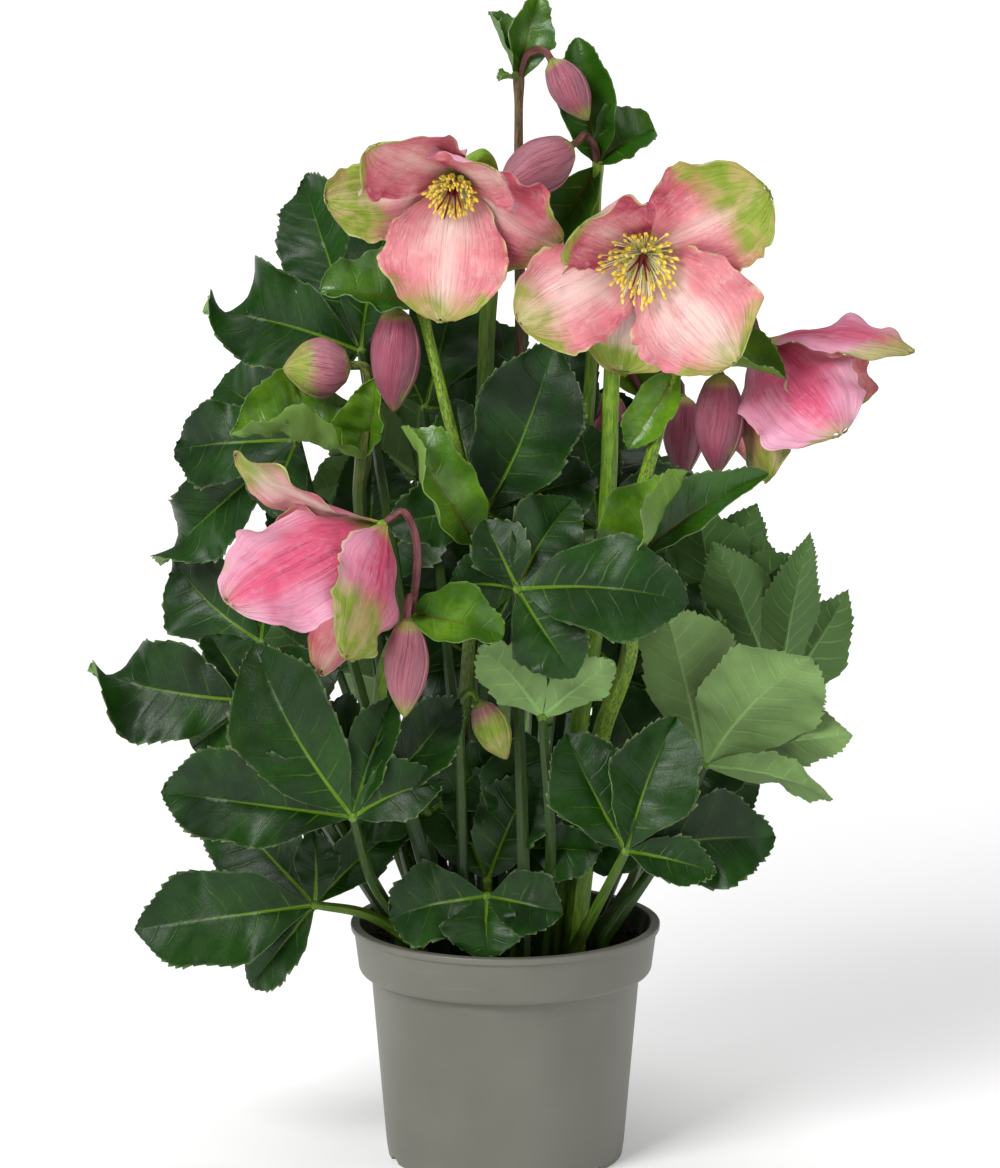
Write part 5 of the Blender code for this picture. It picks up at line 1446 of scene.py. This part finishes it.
def pot():
    """The pot's outline runs from the middle of its floor up the inside, over the lip and down to the
    foot."""
    band_low, band_out = POT_HEIGHT - BAND_HEIGHT, POT_RIM_DIAMETER / 2 - LIP_STEP
    rim, foot_out = POT_RIM_DIAMETER / 2, POT_BASE_DIAMETER / 2
    outline = [
        (0.5, FLOOR_TOP, 0), (inner_radius(FLOOR_TOP), FLOOR_TOP, 2.0), (inner_radius(LEDGE), LEDGE, 0.4),
        (inner_radius(LEDGE + 1), LEDGE + 1, 0.4), (inner_radius(POT_HEIGHT), POT_HEIGHT, 0.7),
        (rim, POT_HEIGHT, 1.0), (rim - 0.2, POT_HEIGHT - LIP_HEIGHT, 0.7),
        (band_out, POT_HEIGHT - LIP_HEIGHT - 0.4, 0.3), (band_out - 2.2, band_low + 1.2, 1.1),
        (band_out - 3.2, band_low, 0.3), (pot_radius(band_low), band_low - 0.4, 0.6),
        (pot_radius(FOOT_HEIGHT), FOOT_HEIGHT, 1.0), (foot_out - 0.3, 0, 0.4), (foot_out - 2.6, 0, 0.4),
        (foot_out - 3.2, FLOOR_TOP - FLOOR_THICKNESS, 0.4), (0.5, FLOOR_TOP - FLOOR_THICKNESS, 0),
    ]
    uncut = mesh_from("uncut", [turned(rounded(outline), POT_SIDES)], [pot_taupe], POT_SHARP_DEG)
    body = add("uncut", uncut)
    tools = add("cutters", mesh_from("cutters", cutters(foot_out), [pot_taupe], POT_SHARP_DEG))
    cut = body.modifiers.new("cut", "BOOLEAN")
    cut.operation, cut.solver, cut.object = "DIFFERENCE", "EXACT", tools
    mesh = bpy.data.meshes.new_from_object(body.evaluated_get(bpy.context.evaluated_depsgraph_get()))
    for obj in (body, tools):
        bpy.data.objects.remove(obj)
    mesh.shade_smooth()
    mesh.set_sharp_from_angle(angle=math.radians(POT_SHARP_DEG))
    return stand_in_for("pot", mesh)


made = pot()
print("pot triangles:", triangles(made), "rim in metres:", round(made.dimensions.x, 4))

# %% [markdown]
# ## The soil
#
# Peat is nearly black, crumbly and full of short brown fibres, with a few pale grains. Its surface is a
# turned sheet raised by two sizes of smooth random heights. Loose crumbs lie on it, all from one small
# many-sided lump that is squashed and turned differently each time, with a scatter of fibres. A bump alone
# would look like felt against the pot's rim.

# %% Peat
def peat_material():
    """soil_tone holds how pale a crumb is."""
    recipe = Recipe("peat_dark_crumbly", Specular_IOR_Level=0.2)
    place = recipe.place()
    pale, _, _ = recipe.map("soil_tone").parts()
    crumbs = place.noise(420, 4)
    colour = crumbs.band(0.35, 0.7).mix((0.006, 0.0042, 0.003), (0.034, 0.020, 0.012))
    colour = place.noise(60, 2).band(0.5, 0.75, 0.5).mix(colour, (0.050, 0.028, 0.016))
    return recipe.finish(pale.mix(colour, (0.16, 0.115, 0.075)), crumbs * 0.2 + 0.8, crumbs, 0.0012)


def ground(x, y):
    """Height of the soil's surface at a place."""
    return SOIL_TOP - 0.9 + 1.1 * soft_heights(x, y, 11, 1) + 0.6 * soft_heights(x, y, 3.1, 2)


peat = peat_material()
print("the soil's surface lies at about", round(float(ground(np.array(10.0), np.array(-50.0))), 1), "mm")

# %% Crumbs and fibres
SOIL_RINGS = 56
SOIL_MIDDLE = 0.5
CRUMBS = 1500
FIBRES = 150
RING_RADIUS = 0.894
RING_HEIGHT = 0.447
HALF_FIFTH = 0.628
PALE_FROM = 0.93


def crumb_faces():
    """The faces of a ball of twelve corners: a top, an upper and a lower ring of five, and a bottom."""
    k = np.arange(5)
    n = (k + 1) % 5
    bands = [(0 * k, 1 + k, 1 + n), (1 + k, 6 + k, 1 + n), (6 + k, 6 + n, 1 + n), (11 + 0 * k, 6 + n, 6 + k)]
    return np.concatenate([np.stack(band, 1) for band in bands])


def spun(x, y, angle):
    """Two coordinates turned by an angle."""
    return x * np.cos(angle) - y * np.sin(angle), x * np.sin(angle) + y * np.cos(angle)


def crumbs(count, reach):
    """count lumps in one patch. Each is a twelve-cornered ball, squashed and turned by chance, on the
    ground."""
    draw = np.random.default_rng(700)
    turn = math.tau * np.arange(5) / 5
    east, north = RING_RADIUS * np.cos(turn), RING_RADIUS * np.sin(turn)
    upper = np.stack([east, north, np.full(5, RING_HEIGHT)], 1)
    lower = np.stack([*spun(east, north, HALF_FIFTH), np.full(5, -RING_HEIGHT)], 1)
    ball = np.vstack([(0, 0, 1), upper, lower, (0, 0, -1)])
    size = 0.35 + 1.5 * draw.uniform(0, 1, (count, 1)) ** 4
    sizes = size * draw.uniform(0.55, 1.2, (count, 3))
    lumps = ball * sizes[:, None] * draw.uniform(0.8, 1.2, (count, 12, 1))
    first, second = (draw.uniform(0, math.tau, (count, 1)) for _ in range(2))
    x, y = spun(lumps[..., 0], lumps[..., 1], first)
    y, z = spun(y, lumps[..., 2], second)
    radius = reach * np.sqrt(draw.uniform(0, 1, (count, 1)))
    round_to = draw.uniform(0, math.tau, (count, 1))
    east, north = radius * np.cos(round_to), radius * np.sin(round_to)
    points = np.stack([x + east, y + north, z + ground(east, north) + 0.25 * size], -1)
    faces = (crumb_faces() + 12 * np.arange(count)[:, None, None]).reshape(-1, 3)
    pale = np.repeat((draw.uniform(0, 1, count) > PALE_FROM) * draw.uniform(0.3, 1.0, count), 12)
    return patch(points, [faces], soil_tone=np.stack([pale, 0 * pale, 0 * pale], 1))


def fibre(draw, reach):
    """One short bent fibre that lies on the ground."""
    round_to = draw.uniform(0, math.tau)
    radius = reach * math.sqrt(draw.uniform(0, 1))
    heading = draw.uniform(0, math.tau)
    start = np.array([radius * math.cos(round_to), radius * math.sin(round_to), 0])
    line = bent_line(start, (math.cos(heading), math.sin(heading), 0), draw.normal(0, 0.4, 3) * (1, 1, 0),
                     draw.uniform(3, 9), 5)
    line[:, 2] = ground(line[:, 0], line[:, 1]) + 0.35 + 0.5 * draw.uniform()
    made = tube(line, [0.17, 0.10], 3)
    return patch(made["points"], made["faces"], soil_tone=(draw.uniform(0.1, 0.5), 0, 0))


print("a crumb has", len(crumb_faces()), "faces")

# %% Fill the pot
def soil():
    """The soil's outline runs from the middle of its surface out to the wall and down, and back under
    it."""
    floor, edge = FLOOR_TOP + GAP, inner_radius(SOIL_TOP) - GAP
    radii = np.linspace(SOIL_MIDDLE, edge, SOIL_RINGS)
    down = [(inner_radius(LEDGE + 1) - GAP, LEDGE + 1 + GAP), (inner_radius(LEDGE) - GAP, LEDGE + GAP),
            (inner_radius(floor) - GAP - 0.1, floor), (SOIL_MIDDLE, floor)]
    turn = math.tau * np.arange(POT_SIDES) / POT_SIDES
    heights = np.zeros((SOIL_RINGS + len(down), POT_SIDES))
    heights[:SOIL_RINGS] = ground(radii[:, None] * np.cos(turn), radii[:, None] * np.sin(turn))
    heights[0] = heights[0].mean()
    draw = np.random.default_rng(701)
    surface = turned([*((radius, 0) for radius in radii), *down], POT_SIDES, heights, soil_tone=(0, 0, 0))
    fibres = [fibre(draw, edge - 10) for _ in range(FIBRES)]
    return piece("soil", [surface, crumbs(CRUMBS, edge - 2), *fibres], [peat], 60)


print("soil triangles:", triangles(soil()))

# %% [markdown]
# ## Studio
#
# The plant stands on a plain white floor that runs out of sight, in soft light from large lamps, so that
# nothing draws the eye from it. The lamps whiten the floor near the plant, where a faint glow of the floor's
# own, painted light, lightens the shadows. Further off, where they hardly reach, the floor gives off more
# light of its own, so that it stays white without taking the shade out of the leaves. The camera looks a
# little down on the pot, from about two metres, through a long lens, as the pot's rim and foot tell.

# %% Floor, lamps and camera
FLOOR_REACH = 20.0
GLOW_STARTS = 0.3
GLOW_FULL = 3.0
GLOW = 0.72
# A faint glow of the floor everywhere, painted light that also lightens the shadows near the plant.
GLOW_NEAR = 0.2
WHITE = (1, 1, 1, 1)
WORLD_LIGHT = 0.22
LAMPS = rows(
    "place size power",
    ("key", (-1.5, -1.9, 1.9), 1.3, 77),
    ("fill", (1.9, -1.5, 1.0), 1.8, 12),
    ("top", (0.2, 0.5, 2.3), 1.6, 20),
)
AIM = np.array([0, 0, 0.28])
CAMERA_PLACE = (-0.0024, -2.0, 0.615)
CAMERA_TILT_DEG = 80
LENS_TO_SENSOR = 4550 / 1168
SENSOR_MM = 36.0


def floor():
    """A large square with a matte white paint that shows a trace of roller marks. It glows faintly near the
    plant, painted light that lightens the shadows there, and more away from the plant."""
    recipe = Recipe("floor_white", Roughness=0.9, Emission_Color=WHITE)
    place = recipe.place()
    away = recipe.node("ShaderNodeVectorMath", {0: place}, "Value", operation="LENGTH")
    recipe.wire(away.band(GLOW_STARTS, GLOW_FULL, GLOW) + GLOW_NEAR, "Emission Strength")
    recipe.finish(place.noise(3, 2).mix((0.89, 0.89, 0.89), (0.93, 0.93, 0.93)))
    corners = FLOOR_REACH * np.array([(-1, -1, 0), (1, -1, 0), (1, 1, 0), (-1, 1, 0)]) / MM
    mesh = mesh_from("studio_floor", [patch(corners, [np.arange(4)[None]])], [recipe.material], 30)
    add("studio_floor", mesh)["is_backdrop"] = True


def lamp(name, place, size, power):
    """A square softbox that points at the plant."""
    light = bpy.data.lights.new(name, "AREA")
    light.size, light.energy = size, power
    obj = add(name, light)
    obj.location = place
    obj.rotation_euler = Vector(AIM - place).to_track_quat("-Z", "Y").to_euler()


def camera():
    """The camera at the photograph's angle. The sensor is as long as the picture is high."""
    lens = bpy.data.cameras.new("camera")
    lens.sensor_width = SENSOR_MM
    lens.lens = SENSOR_MM * LENS_TO_SENSOR
    obj = add("camera", lens)
    obj.location = CAMERA_PLACE
    obj.rotation_euler = (math.radians(CAMERA_TILT_DEG), 0, 0)
    return obj


def studio_world():
    """An even white light from all round."""
    world = bpy.data.worlds.new("studio")
    world.use_nodes = True
    background = world.node_tree.nodes["Background"]
    background.inputs["Color"].default_value = WHITE
    background.inputs["Strength"].default_value = WORLD_LIGHT
    return world


scene = bpy.context.scene
floor()
for name, settings in LAMPS.items():
    lamp(name, **settings)
scene.camera = camera()
scene.world = studio_world()
scene.view_settings.view_transform = "Standard"
print("lamps:", len(LAMPS), "lens in mm:", round(scene.camera.data.lens, 1))

# %% [markdown]
# ## Measure and finish
#
# Both boxes, of the solids and of the skins, are printed, with how far each corner moved.

# %% Compare the boxes and finish
seen_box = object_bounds()
for word, solid, skin in zip(("lowest", "highest"), cad_box, seen_box):
    print(word, "corner moved by", [round((b - a) / MM, 1) for a, b in zip(solid, skin)], "mm")
